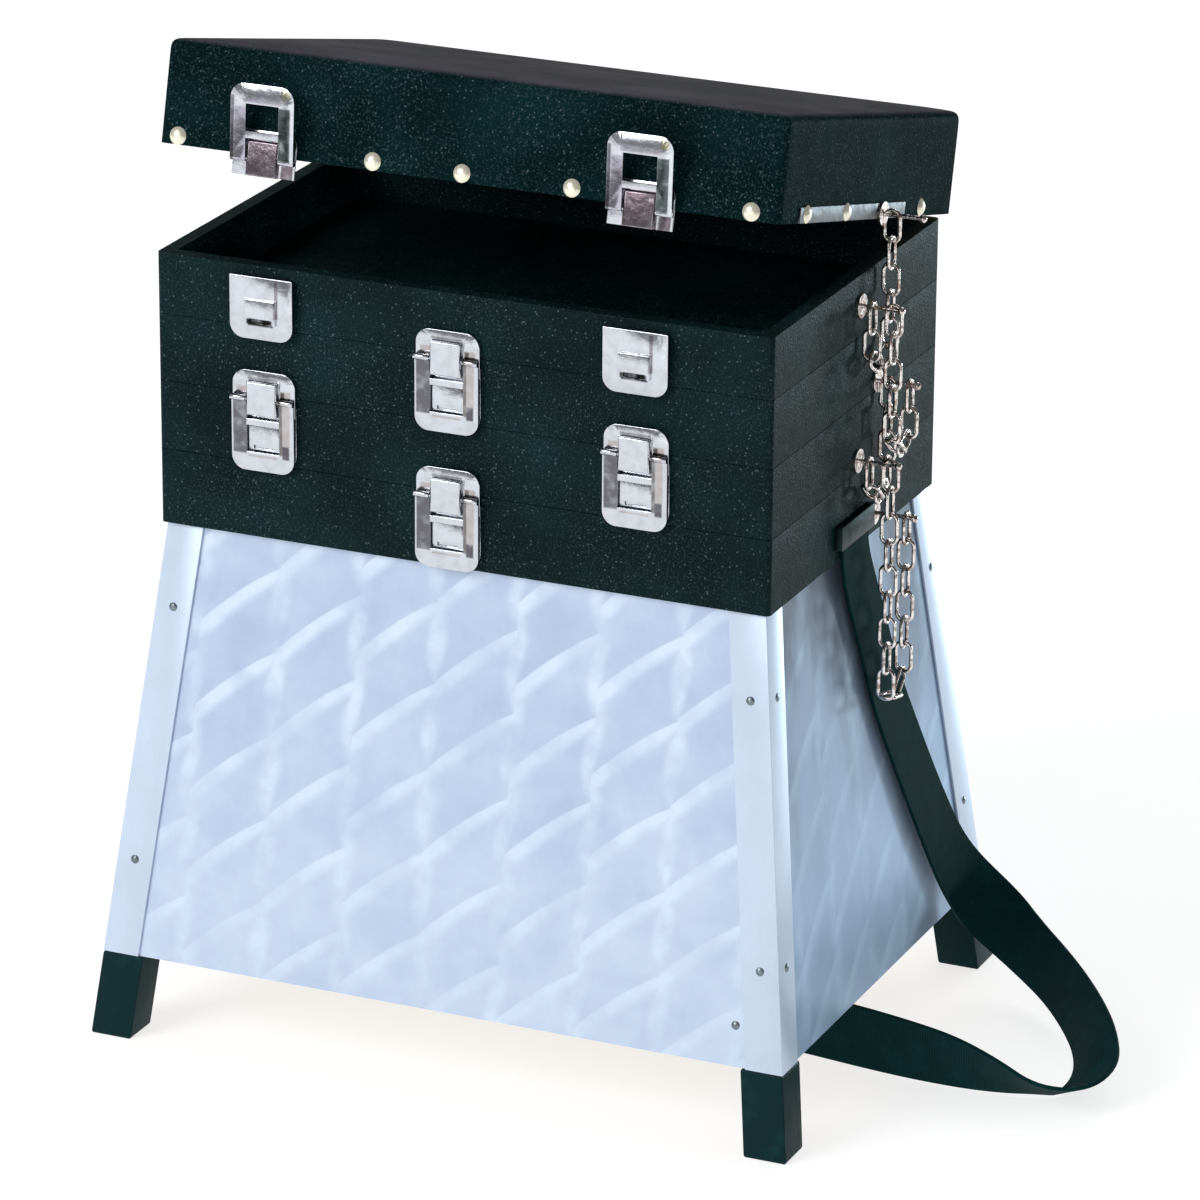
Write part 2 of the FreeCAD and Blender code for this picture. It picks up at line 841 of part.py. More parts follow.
def latches():
    """Pairs and single latches alternate up the front, one row at each split."""
    plate, hasp, keeper = latch_plate(), latch_hasp(), latch_keeper()
    face = -size("half_depth")
    middle = size("latch_shift")
    left, right = middle - size("latch_pitch"), middle + size("latch_pitch")
    pin_out, pin_drop = size("latch_pin_out"), size("latch_pin_drop")

    def at(x, z):
        return Placement(Vector(x, face, z), Rotation())

    def at_pin(x, z):
        return Placement(Vector(x, face - pin_out, z - pin_drop), Rotation())

    rows = [
        ("tray_three", size("z_rim"), (middle,), ("centre_low",)),
        ("tray_two", size("z_three"), (left, right), ("middle_left", "middle_right")),
        ("tray_one", size("z_two"), (middle,), ("centre_high",)),
    ]
    for name, z, columns, hasps in rows:
        feature(f"{name}_latch_plates", copies(plate, [at(x, z) for x in columns]))
        for label, x in zip(hasps, columns):
            feature(f"hasp_{label}", copies(hasp, [at_pin(x, z)]))
    feature("rim_keeper", copies(keeper, [at(middle, size("z_rim"))]))
    feature("tray_three_keepers", copies(keeper, [at(x, size("z_three")) for x in (left, right)]))
    feature("tray_two_keeper", copies(keeper, [at(middle, size("z_two"))]))
    packed = latch_keeper("lid_front")
    feature("tray_one_keepers", copies(packed, [at(x, size("z_one")) for x in (left, right)]))

    lid_face, lid_low = size("lid_front_y"), size("lid_low")
    opened = Rotation(ACROSS, size("hasp_lean") - 180)
    feature("lid_latch_plates", copies(plate, [on_lid(x, lid_face, lid_low) for x in (left, right)]))
    for label, x in (("hasp_lid_left", left), ("hasp_lid_right", right)):
        placement = on_lid(x, lid_face - pin_out, lid_low - pin_drop, opened)
        feature(label, copies(hasp, [placement]))


# Stay chains on the right side, each slack between two hooks, and the hooks
def chain_hook(label, placement):
    """A base disc on the case's side with a rod that stands out and ends in a knob."""
    out = size("chain_outer") + size("link_wire") + size("hook_spare")
    base = rod(Vector(0, 0, 0), Vector(size("hook_disc"), 0, 0), size("hook_base"))
    stem = rod(Vector(0, 0, 0), Vector(out, 0, 0), size("hook_wire"))
    knob = Part.makeSphere(size("hook_end"), Vector(out, 0, 0))
    feature(label, copies(base.fuse([stem, knob]).removeSplitter(), [placement]))


def chain_link():
    """One link round the origin, long way along Z and flat in the YZ plane."""
    wire = size("link_wire") / 2
    bend = size("link_width") / 2 - wire
    straight = (size("link_length") - size("link_width")) / 2
    top = Part.Arc(Vector(0, -bend, straight), Vector(0, 0, straight + bend), Vector(0, bend, straight))
    low = Part.Arc(Vector(0, bend, -straight), Vector(0, 0, -straight - bend), Vector(0, -bend, -straight))
    right = Part.LineSegment(Vector(0, bend, straight), Vector(0, bend, -straight))
    left = Part.LineSegment(Vector(0, -bend, -straight), Vector(0, -bend, straight))
    path = Part.Wire([edge.toShape() for edge in (top, right, low, left)])
    section = Part.Wire(Part.makeCircle(wire, Vector(0, -bend, straight), UP))
    return path.makePipeShell([section], True, False)


def chain(label, upper, lower, drop, outward):
    """Links straight down from each hook, joined by two that hang between the strands."""
    pitch = size("link_length") - 2 * size("link_wire") - size("link_play")
    x = size("half_width") + size(outward)
    on_rod = size("hook_wire")
    start = Vector(x, upper.y, upper.z + on_rod)
    end = Vector(x, lower.y, lower.z + on_rod)
    step = Vector(0, 0, -pitch)
    falling = [start + step * k for k in range(int(size(drop)) + 1)]
    back = round((end.z - falling[-1].z) / pitch)
    rising = [end + step * k for k in range(back, -1, -1)]
    across = rising[0] - falling[-1]
    sag = math.sqrt(pitch ** 2 - (across.Length / 2) ** 2)
    below = Vector(0, across.z, -abs(across.y)).normalize() * sag
    if across.y < 0:
        below.y = -below.y
    joints = falling + [falling[-1] + across / 2 + below] + rising
    link = chain_link()
    placements = []
    for count, (a, b) in enumerate(zip(joints, joints[1:])):
        quarter = Rotation(UP, 90 * (count % 2))
        placements.append(Placement((a + b) / 2, Rotation(UP, b - a).multiply(quarter)))
    print(f"{label}: {len(placements)} links, {len(placements) * pitch:.0f} mm")
    feature(label, copies(link, placements))


def stay_chains():
    """Drops alternate between two columns, and neighbours hang in two layers."""
    pitch = size("link_length") - 2 * size("link_wire") - size("link_play")
    rear = size("chain_rear")
    front = rear - 2 * pitch * math.sin(math.radians(size("chain_turn")))
    side = size("half_width")
    lid_hook = on_lid(
        side + size("strip_thickness"),
        -size("lid_hook_front"),
        size("lid_low") + size("lid_hook_up"),
    )
    hooks = [
        ("lid_chain_hook", lid_hook),
        ("tray_one_chain_hook", Vector(side, front, size("z_two") + size("tray_one_hook"))),
        ("tray_two_chain_hook", Vector(side, rear, size("z_three") + size("tray_two_hook"))),
        ("tray_three_chain_hook", Vector(side, front, size("z_rim") + size("tray_three_hook"))),
        ("rim_chain_hook", Vector(side, rear, size("z_case") + size("rim_hook"))),
    ]
    points = []
    for label, where in hooks:
        placement = where if label == "lid_chain_hook" else Placement(where, Rotation())
        chain_hook(label, placement)
        points.append(placement.Base)
    layers = ["chain_inner", "chain_outer", "chain_inner", "chain_outer"]
    names = ["lid", "tray_one", "tray_two", "tray_three"]
    for name, layer, upper, lower in zip(names, layers, points, points[1:]):
        chain(f"{name}_chain", upper, lower, f"{name}_chain_drop", layer)


# Shoulder strap: the middle of the webbing and the way its width points, from the right plate
# down the side, round a loop on the floor, on edge under the base and up the left side
STRAP_ROUTE = [
    ((191.8, -5, 331), (0, 1, 0)),
    ((191.8, -5, 311), (0, 1, 0)),
    ((193.5, 4, 286), (0, 1, 0.25)),
    ((197, 16, 254), (0, 1, 0.35)),
    ((200.5, 28, 218), (0, 1, 0.42)),
    ((207, 50, 172), (0, 1, 0.5)),
    ((213, 73, 128), (0, 1, 0.6)),
    ((218, 97, 88), (0.05, 1, 0.9)),
    ((226, 116, 62), (0.2, 0.7, 1)),
    ((243, 121, 44), (0.35, 0.35, 1)),
    ((265, 111, 33), (0.35, 0.1, 1)),
    ((287, 94, 27), (0.35, 0, 1)),
    ((308, 70, 23.5), (0.4, 0, 1)),
    ((327, 43, 21), (0.5, 0, 1)),
    ((341, 16, 18.5), (0.7, 0, 0.85)),
    ((348, -8, 14), (0.9, 0.1, 0.6)),
    ((342, -26, 10.5), (0.8, -0.6, 0.45)),
    ((325, -34, 12), (0.2, -0.9, 0.5)),
    ((301, -35, 17), (0, -0.6, 0.8)),
    ((272, -33, 20), (0, -0.3, 1)),
    ((240, -30, 21), (0, -0.1, 1)),
    ((208, -25, 21), (0, 0, 1)),
    ((164, -19, 21), (0, 0, 1)),
    ((110, -15, 21), (0, 0, 1)),
    ((55, -8, 21), (0, 0, 1)),
    ((0, -3, 21), (0, 0, 1)),
    ((-55, 4, 21), (0, 0, 1)),
    ((-110, 8, 21), (0, 0, 1)),
    ((-158, 14, 21), (0, 0, 1)),
    ((-198, 21, 20), (0, 0.5, 0.9)),
    ((-228, 29, 17), (0, 1, 0.5)),
    ((-248, 35, 27), (0, 1, 0.1)),
    ((-252, 38, 54), (0, 1, 0)),
    ((-243, 36, 92), (0, 1, 0)),
    ((-229, 31, 138), (0, 1, 0)),
    ((-217, 24, 184), (0, 1, 0)),
    ((-206, 14, 230), (0, 1, 0)),
    ((-197, 4, 272), (0, 1, 0)),
    ((-191.8, -5, 311), (0, 1, 0)),
    ((-191.8, -5, 331), (0, 1, 0)),
]


def between(values):
    """The route with one more point in the middle of each step, on a smooth curve."""
    fuller = []
    for k in range(len(values) - 1):
        a, b = values[max(k - 1, 0)], values[k]
        c, d = values[k + 1], values[min(k + 2, len(values) - 1)]
        fuller += [b, (b + c) * 0.5625 - (a + d) * 0.0625]
    return fuller + values[-1:]


def shoulder_strap():
    points = between(between([Vector(*point) for point, width in STRAP_ROUTE]))
    widths = between(between([Vector(*width).normalize() for point, width in STRAP_ROUTE]))
    half_width = size("strap_width") / 2
    half_thick = size("strap_thickness") / 2
    sections = []
    for k, (point, width) in enumerate(zip(points, widths)):
        along = points[min(k + 1, len(points) - 1)] - points[max(k - 1, 0)]
        along.normalize()
        width = width - along * width.dot(along)
        width.normalize()
        through = along.cross(width) * half_thick
        width = width * half_width
        corners = [point - width - through, point + width - through]
        corners += [point + width + through, point - width + through]
        sections.append(Part.makePolygon(corners + corners[:1]))
    strap = Part.makeLoft(sections, True, True)
    length = sum((b - a).Length for a, b in zip(points, points[1:]))
    plain = length * size("strap_width") * size("strap_thickness")
    low = strap.BoundBox.ZMin
    print(f"strap: {length:.0f} mm long, volume {strap.Volume / plain:.3f} of plain, low {low:.2f}")
    feature("shoulder_strap", strap)


def strap_plates():
    """A bridge plate on each side of the rim, with a slot that holds the strap's end."""
    width, height = size("strap_plate_width"), size("strap_plate_height")
    depth, slot = size("strap_plate_depth"), size("strap_slot")
    wide = (-width / 2, width / 2)
    plate = box((0, depth), wide, (0, height))
    room = size("strap_width") / 2 + 0.6
    plate = plate.cut(box((-1, slot), (-room, room), (-1, height + 1)))
    side = size("half_width")
    z = size("z_case") + size("strap_plate_up")
    right = Placement(Vector(side, size("strap_y"), z), Rotation())
    left = Placement(Vector(-side, size("strap_y"), z), Rotation(UP, 180))
    feature("strap_plates", copies(plate, [right, left]))


# The whole box
rim_frame()
tray("tray_three", "tray_three_height", "z_rim")
tray("tray_two", "tray_two_height", "z_three")
tray("tray_one", "tray_one_height", "z_two")
base_panels()
corner_angles()
feet()
floor_panel()
top_battens()
panel_rivets()
seat_cover()
seat_pad()
lid_box()
lid_lining()
lid_nails()
lid_side_strip()
rear_hinges()
latches()
stay_chains()
shoulder_strap()
strap_plates()
doc.recompute()

for thing in doc.Objects:
    if "Invalid" in thing.State or "Error" in thing.State:
        raise RuntimeError(f"{thing.Label} failed: {thing.State}")
for part in sub_parts:
    if part.Shape.isNull() or not part.Shape.isValid():
        raise RuntimeError(f"{part.Label} has no valid shape")

os.makedirs("parts", exist_ok=True)
for part in sub_parts:
    part.Shape.exportStep(f"parts/{part.Label}.step")
print(f"{len(sub_parts)} sub-parts")
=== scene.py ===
import json
import math

import bmesh
import bpy
from mathutils import Matrix, Vector

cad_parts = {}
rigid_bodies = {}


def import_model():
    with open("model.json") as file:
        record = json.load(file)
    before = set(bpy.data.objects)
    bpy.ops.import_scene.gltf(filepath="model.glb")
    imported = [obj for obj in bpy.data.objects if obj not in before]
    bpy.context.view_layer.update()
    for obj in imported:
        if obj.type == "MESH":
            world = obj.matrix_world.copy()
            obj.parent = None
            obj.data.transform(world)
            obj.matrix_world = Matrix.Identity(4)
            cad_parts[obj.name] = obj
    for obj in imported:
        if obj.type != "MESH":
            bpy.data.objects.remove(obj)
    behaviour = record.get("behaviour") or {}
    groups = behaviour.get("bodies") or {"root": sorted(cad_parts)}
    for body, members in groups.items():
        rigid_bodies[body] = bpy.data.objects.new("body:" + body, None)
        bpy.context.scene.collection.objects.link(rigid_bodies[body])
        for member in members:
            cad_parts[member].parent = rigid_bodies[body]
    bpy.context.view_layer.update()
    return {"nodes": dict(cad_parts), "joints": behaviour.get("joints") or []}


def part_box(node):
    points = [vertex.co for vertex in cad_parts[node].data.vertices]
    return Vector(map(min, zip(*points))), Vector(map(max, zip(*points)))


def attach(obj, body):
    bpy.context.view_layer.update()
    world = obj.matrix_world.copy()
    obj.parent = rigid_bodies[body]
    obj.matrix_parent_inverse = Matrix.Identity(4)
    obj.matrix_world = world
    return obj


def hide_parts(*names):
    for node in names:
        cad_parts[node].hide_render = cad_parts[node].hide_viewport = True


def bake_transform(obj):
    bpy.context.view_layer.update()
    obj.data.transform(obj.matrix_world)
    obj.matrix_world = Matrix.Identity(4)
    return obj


bl_info = {
    "name": "Fishing Seat Box",
    "version": (1, 0, 0),
    "blender": (4, 5, 0),
    "location": "View3D > Sidebar > Seat Box",
    "description": "Dresses the seat box: covering, turned metal, latches, chains and strap",
    "category": "Object",
}

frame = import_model()

MM = 0.001
Z_AXIS = Vector((0, 0, 1))
CORNERS = ("front_left", "front_right", "back_left", "back_right")
TRAYS = ("tray_three", "tray_two", "tray_one")


def length(name, description, default):
    """A property that holds a length in millimetres."""
    return bpy.props.FloatProperty(name=name, description=description, default=default)


def colour(name, description, default):
    """A property that holds a linear colour."""
    return bpy.props.FloatVectorProperty(
        name=name,
        description=description,
        default=default,
        subtype="COLOR",
        size=3,
        min=0,
        max=1,
    )


class SeatBoxSizes(bpy.types.PropertyGroup):
    """Sizes of what is dressed, in millimetres."""

    edge: length("Board edge", "Rounding of the covered boards' edges", 1.6)
    metal_edge: length("Metal edge", "Rounding of folded and pressed metal", 0.35)
    lid_edge: length("Lid edge", "Rounding of the padded lid's edges", 5.0)
    lid_crown: length("Lid crown", "How far the lid's top rises to its middle", 1.8)
    crown_reach: length("Crown reach", "How far from the edge most of the crown is reached", 14.0)
    lid_swell: length("Lid swell", "How far the covering swells over its foam", 0.8)
    cloth_cell: length("Cloth cell", "Size of the covering's mesh cells", 8.0)
    cover: length("Cover", "Thickness of the lid's covering", 1.4)
    link_length: length("Link length", "Outside length of a chain link", 21.0)
    link_width: length("Link width", "Outside width of a chain link", 12.0)
    link_wire: length("Link wire", "Diameter of a link's wire", 2.4)
    link_play: length("Link play", "Slack between two links", 0.4)
    strap_width: length("Strap width", "Width of the webbing", 38.0)
    strap_thickness: length("Strap thickness", "Thickness of the webbing", 2.2)
    turned_pitch: length("Turned pitch", "Distance between the columns of turned marks", 50.3)
    turned_start: length("Turned start", "How far the columns are moved sideways", 10.5)
    turned_row: length("Turned row", "Height of a row of turned marks", 49.0)
    turned_rim: length("Turned rim", "Narrowing of a mark's rim to the right, in rows", 0.1)


class SeatBoxColours(bpy.types.PropertyGroup):
    """Colours of the finishes."""

    cloth: colour("Leathercloth", "Grained covering", (0.0022, 0.0145, 0.016))
    cloth_fleck: colour("Fleck", "Pale grain flecks in the covering", (0.1, 0.15, 0.17))
    # Painted sheen: the colour that lightens the seat's top
    cloth_top_sheen: colour("Top sheen", "Painted sheen on the seat's top", (0.1, 0.092, 0.112))
    turned_dark: colour("Turned dark", "Dull part of a turned mark", (0.425, 0.53, 0.72))
    turned_pale: colour("Turned pale", "Bright part of a turned mark", (0.65, 0.77, 0.92))
    rivet: colour("Rivets", "Rivet heads", (0.22, 0.27, 0.3))
    aluminium: colour("Aluminium", "Plain corner angles", (0.6, 0.71, 0.86))
    foot: colour("Feet", "Painted foot blocks", (0.003, 0.022, 0.025))
    nickel: colour("Nickel", "Latches", (0.6, 0.63, 0.68))
    steel: colour("Steel", "Hinges", (0.55, 0.54, 0.52))
    strip: colour("Strip", "Steel strip on the lid's edge", (0.13, 0.14, 0.15))
    # Painted shadow: the strap's plates are darkened where the chain's shadow falls
    dark_plate: colour("Strap plates", "Strap plates painted dark as the chain's shadow", (0.02, 0.035, 0.037))
    chain: colour("Chain", "Links and hooks", (0.82, 0.78, 0.76))
    nail: colour("Nails", "Domed nails", (0.92, 0.88, 0.72))
    webbing: colour("Webbing", "Shoulder strap", (0.001, 0.022, 0.023))
    board: colour("Board", "Bare plywood", (0.5, 0.36, 0.2))
    foam_pore: colour("Foam pores", "Pores of the seat's foam", (0.6, 0.52, 0.3))
    foam: colour("Foam", "Foam of the seat", (0.8, 0.72, 0.5))
    floor: colour("Floor", "Studio floor", (0.42, 0.42, 0.42))


def sizes():
    return bpy.context.scene.seat_box_sizes


def colours():
    return bpy.context.scene.seat_box_colours


# Materials
class Signal:
    """A number in a material's node tree that takes Python's own arithmetic."""

    def __init__(self, tree, socket):
        self.tree = tree
        self.socket = socket

    def math(self, operation, *others):
        node = self.tree.nodes.new("ShaderNodeMath")
        node.operation = operation
        for slot, value in zip(node.inputs, (self, *others)):
            if isinstance(value, Signal):
                self.tree.links.new(value.socket, slot)
            else:
                slot.default_value = value
        return Signal(self.tree, node.outputs[0])

    def __add__(self, other):
        return self.math("ADD", other)

    def __sub__(self, other):
        return self.math("SUBTRACT", other)

    def __mul__(self, other):
        return self.math("MULTIPLY", other)

    def __truediv__(self, other):
        return self.math("DIVIDE", other)

    def flipped(self):
        """One where this is zero and zero where it is one."""
        return self * -1.0 + 1.0

    def clamp(self):
        return self.math("MINIMUM", 1.0).math("MAXIMUM", 0.0)

    def step(self, low, high):
        """Rises smoothly from 0 to 1 between low and high."""
        node = self.tree.nodes.new("ShaderNodeMapRange")
        node.interpolation_type = "SMOOTHSTEP"
        self.tree.links.new(self.socket, node.inputs["Value"])
        node.inputs["From Min"].default_value = low
        node.inputs["From Max"].default_value = high
        return Signal(self.tree, node.outputs["Result"])

    def band(self, low, high, soft):
        """One between low and high, with edges this soft to either side."""
        past_low = self.step(low - soft, low + soft)
        return past_low * self.step(high - soft, high + soft).flipped()


class Finish:
    """One procedural material: its tree, its shader and the textures that it is made from."""

    def __init__(self, name, roughness, metallic=0.0, specular=0.5):
        self.material = bpy.data.materials.new(name)
        self.material.use_nodes = True
        self.tree = self.material.node_tree
        self.shader = self.tree.nodes["Principled BSDF"]
        self.shader.inputs["Roughness"].default_value = roughness
        self.shader.inputs["Metallic"].default_value = metallic
        self.shader.inputs["Specular IOR Level"].default_value = specular

    def coordinates(self, source="Object"):
        node = self.tree.nodes.new("ShaderNodeTexCoord")
        return node.outputs[source]

    def axes(self, source="Object"):
        node = self.tree.nodes.new("ShaderNodeSeparateXYZ")
        self.tree.links.new(self.coordinates(source), node.inputs[0])
        return [Signal(self.tree, output) for output in node.outputs]

    def stretched(self, scale):
        """Object coordinates scaled along each axis, so a scale under 1 draws a pattern out."""
        node = self.tree.nodes.new("ShaderNodeMapping")
        node.inputs["Scale"].default_value = scale
        self.tree.links.new(self.coordinates(), node.inputs["Vector"])
        return node.outputs["Vector"]

    def noise(self, size, detail=2.0, vector=None, roughness=0.5):
        """Noise whose features are about size metres across."""
        node = self.tree.nodes.new("ShaderNodeTexNoise")
        node.inputs["Scale"].default_value = 1 / size
        node.inputs["Detail"].default_value = detail
        node.inputs["Roughness"].default_value = roughness
        self.tree.links.new(vector or self.coordinates(), node.inputs["Vector"])
        return Signal(self.tree, node.outputs["Fac"])

    def cells(self, size):
        """Distance to the middle of the nearest of many cells about size metres across."""
        node = self.tree.nodes.new("ShaderNodeTexVoronoi")
        node.inputs["Scale"].default_value = 1 / size
        self.tree.links.new(self.coordinates(), node.inputs["Vector"])
        return Signal(self.tree, node.outputs["Distance"])

    def attribute(self, name):
        node = self.tree.nodes.new("ShaderNodeAttribute")
        node.attribute_name = name
        return Signal(self.tree, node.outputs["Fac"])

    def blend(self, signal, low, high):
        """A colour that goes from low to high with the signal."""
        node = self.tree.nodes.new("ShaderNodeMix")
        node.data_type = "RGBA"
        self.tree.links.new(signal.socket, node.inputs["Factor"])
        for slot, value in ((node.inputs["A"], low), (node.inputs["B"], high)):
            if isinstance(value, bpy.types.NodeSocket):
                self.tree.links.new(value, slot)
            else:
                slot.default_value = (*value, 1.0)
        return node.outputs["Result"]

    def paint(self, socket):
        self.tree.links.new(socket, self.shader.inputs["Base Color"])

    def gloss(self, signal):
        self.tree.links.new(signal.socket, self.shader.inputs["Roughness"])

    def bump(self, signal, height):
        """Relief this high in metres, on top of the relief that is there."""
        node = self.tree.nodes.new("ShaderNodeBump")
        node.inputs["Distance"].default_value = height
        self.tree.links.new(signal.socket, node.inputs["Height"])
        previous = self.shader.inputs["Normal"]
        if previous.is_linked:
            self.tree.links.new(previous.links[0].from_socket, node.inputs["Normal"])
        self.tree.links.new(node.outputs["Normal"], previous)


def shade(tone, *factors):
    """A tone made darker or paler by one factor, or by one for each channel."""
    factors = factors * 3 if len(factors) == 1 else factors
    return tuple(channel * factor for channel, factor in zip(tone, factors))


def leathercloth(name, sheen):
    """Pebbled grain, pale flecks on the tops of many pebbles, faint rubbing, and a painted sheen
    that lightens the seat's top.
    """
    tones = colours()
    finish = Finish(name, 0.5, specular=sheen)
    pebble = finish.cells(1.5 * MM)
    crease = finish.noise(9 * MM, detail=3.0)
    cloud = finish.noise(45 * MM, detail=3.0).step(0.3, 0.7)
    fleck = finish.cells(3.6 * MM).math("LESS_THAN", 0.15)
    dust = finish.noise(1.3 * MM, detail=1.0).step(0.53, 0.68) * (cloud * 0.6 + 0.4)
    rubbed = finish.noise(60 * MM, detail=4.0).step(0.35, 0.75)
    ground = finish.blend(rubbed, shade(tones.cloth, 0.6), shade(tones.cloth, 1.3))
    speckled = finish.blend(dust * 0.2, ground, tones.cloth_fleck)
    speckled = finish.blend(fleck * 0.5, speckled, tones.cloth_fleck)
    # Painted sheen: the seat's top is lightened as if the light grazed it
    top_sheen = finish.attribute("top_sheen") * (rubbed * 0.3 + crease * 0.5 + 0.25)
    finish.paint(finish.blend(top_sheen, speckled, tones.cloth_top_sheen))
    finish.gloss(crease * 0.2 + 0.42)
    finish.bump(pebble, 0.2 * MM)
    finish.bump(crease, 0.25 * MM)
    return finish.material


def turned_aluminium(name, across_axis, contrast, dim, shadow):
    """Overlapping turned marks in columns, each with a bright rim that climbs to the right.

    The pattern of marks is real, but their bright rims and pale lenses are painted reflection of
    the light off the turning. A rim is sharp above and soft below, and pale lenses stand where two
    columns overlap. The sheet is paler low down. dim is a factor for each channel, which dims a
    side that faces away from the light as painted shade, and shadow is how strongly a painted
    shade in soft blotches, darkest at the top, darkens the sheet below the case.
    """
    tones = colours()
    dims = sizes()
    pitch, row_height = dims.turned_pitch * MM, dims.turned_row * MM
    finish = Finish(name, 0.42, metallic=0.5)
    axes = finish.axes()
    drift = finish.noise(90 * MM, detail=1.0) * (6 * MM)
    place = (axes[across_axis] + drift + dims.turned_start * MM) / pitch
    share = place.math("FRACT")
    # Each column starts at a height of its own
    lift = ((place - share) * 0.37).math("FRACT") * 0.3
    climb = share - share * share * 0.22
    height = ((axes[2] + drift) / row_height - lift - climb).math("FRACT")
    # Painted reflection: the bright rims and the pale lenses below stand for light off the turning,
    # over the real pattern of marks
    rim = (height - share * dims.turned_rim).step(0.68, 0.86)
    top = height.step(0.0, 0.03).flipped()
    lens_width = 0.26
    width = (height * math.pi).math("SINE") * lens_width + 0.12
    aside = (share - 0.5).math("ABSOLUTE") * 2
    lens = ((aside + width - 1.0) / lens_width).step(0.0, 1.0)
    patch = finish.noise(30 * MM, detail=2.0).step(0.3, 0.65) * 0.75 + 0.35
    cloud = finish.noise(17 * MM, detail=5.0, roughness=0.6).step(0.35, 0.65)
    rim_highlight = rim.math("MAXIMUM", top) * 0.66
    marks = rim_highlight.math("MAXIMUM", lens * (cloud * 0.25 + 0.35)) * patch
    haze = finish.noise(40 * MM, detail=3.0) * 0.8 - 0.4 + cloud * 0.14
    grain = finish.noise(0.8 * MM, vector=finish.stretched((1, 1, 0.08))) * 0.16 - 0.08
    upper = axes[2].step(0.05, 0.26)
    relief = marks * (upper * 0.5 + 0.5) + haze + grain + height * 0.08
    tone = (relief * contrast + 0.4 - upper * 0.24).clamp()
    patched = finish.blend(tone, shade(tones.turned_dark, *dim), shade(tones.turned_pale, *dim))
    if shadow:
        # Painted shade: soft blotches darken the sheet most near its top, under the case's rim, the
        # chain and the strap
        blotch = finish.noise(34 * MM, vector=finish.stretched((1, 1, 0.35)), detail=3.0)
        under = axes[2].step(0.1, 0.3) * 0.85 + 0.1
        painted_shade = (blotch.step(0.35, 0.65) * 0.5 + 0.5) * under * shadow
        finish.paint(finish.blend(painted_shade, patched, shade(tones.turned_dark, 0.12)))
    else:
        finish.paint(patched)
    finish.gloss(tone * 0.14 + 0.34)
    finish.bump(tone, 0.04 * MM)
    return finish.material


def plain_aluminium():
    tones = colours()
    finish = Finish("plain_aluminium", 0.4, metallic=0.5)
    streak = finish.noise(1.2 * MM, vector=finish.stretched((1, 1, 0.03)), detail=3.0)
    stain = finish.noise(35 * MM, detail=4.0).step(0.3, 0.8)
    pale = finish.blend(stain, tones.aluminium, shade(tones.aluminium, 0.9))
    finish.paint(finish.blend(streak * 0.35, pale, shade(tones.aluminium, 0.8)))
    finish.gloss(streak * 0.15 + 0.34)
    finish.bump(streak, 0.03 * MM)
    return finish.material


def painted_foot():
    tones = colours()
    finish = Finish("foot_block", 0.42, specular=0.06)
    grain = finish.noise(3 * MM, vector=finish.stretched((1, 1, 0.2)), detail=4.0)
    worn = finish.noise(14 * MM, detail=4.0).step(0.55, 0.8)
    finish.paint(finish.blend(worn * 0.5, tones.foot, shade(tones.foot, 2.4)))
    finish.gloss(grain * 0.25 + 0.3)
    finish.bump(grain, 0.15 * MM)
    return finish.material


# Painted reflections and painted shade on each kind of latch piece: dark lines of shade in gaps,
# slots and along side walls, and dark, beige, mauve and cream reflections on rails, flaps and
# corners. Each place is on the piece's own map in millimetres: from and to across, from and to
# downwards, then the colour there and how strong it is
GREY_RAIL, BEIGE_RAIL, BROWN_EDGE = (0.07, 0.06, 0.075), (0.4, 0.34, 0.32), (0.1, 0.075, 0.06)
MAUVE, SLATE, SHADE_LINE = (0.2, 0.145, 0.17), (0.045, 0.065, 0.062), (0.012, 0.012, 0.012)
LATCH_PAINTED_LIGHT = {
    "hasp_closed": (
        (-18.6, -10.2, 1.0, 33.0, GREY_RAIL, 0.85),
        (10.4, 12.6, -4.0, 32.0, BROWN_EDGE, 0.8),
        (12.6, 17.2, -4.0, 26.0, BEIGE_RAIL, 0.7),
        (12.4, 16.8, 26.0, 34.0, GREY_RAIL, 0.9),
        (-9.0, 9.0, 33.4, 34.6, BEIGE_RAIL, 0.8),
    ),
    "hasp_open": (
        (10.2, 17.4, 1.0, 31.0, SLATE, 0.92),
        (-17.0, -10.2, -4.0, 30.0, (0.4, 0.37, 0.46), 0.8),
        (-19.7, -17.6, -4.0, 36.0, GREY_RAIL, 0.8),
        (-12.0, 12.0, 32.6, 35.0, (0.3, 0.26, 0.34), 0.7),
        (12.0, 17.0, 36.0, 41.0, (0.62, 0.6, 0.38), 0.8),
    ),
    "latch_plate": (
        (10.2, 17.0, -6.0, 4.0, BEIGE_RAIL, 0.8),
        (10.6, 13.2, -5.5, -1.5, SHADE_LINE, 0.8),
        (-17.0, -10.4, -6.5, -1.0, BEIGE_RAIL, 0.7),
        (-10.0, 9.0, -12.4, -11.2, SHADE_LINE, 0.7),
    ),
    "latch_lid": (
        (-10.4, 9.8, -12.0, 20.0, MAUVE, 0.9),
        (11.0, 18.4, -12.0, 20.0, (0.1, 0.06, 0.075), 0.85),
    ),
    "keeper": (
        (8.6, 10.8, 2.0, 24.0, (0.2, 0.18, 0.2), 0.8),
    ),
    "keeper_open": (
        (8.6, 10.8, 4.0, 26.0, (0.2, 0.18, 0.2), 0.8),
        (-8.4, 7.6, 27.0, 31.4, SHADE_LINE, 1.0),
    ),
}


PAINT_SOFT_ACROSS, PAINT_SOFT_DOWN = 0.5, 0.7


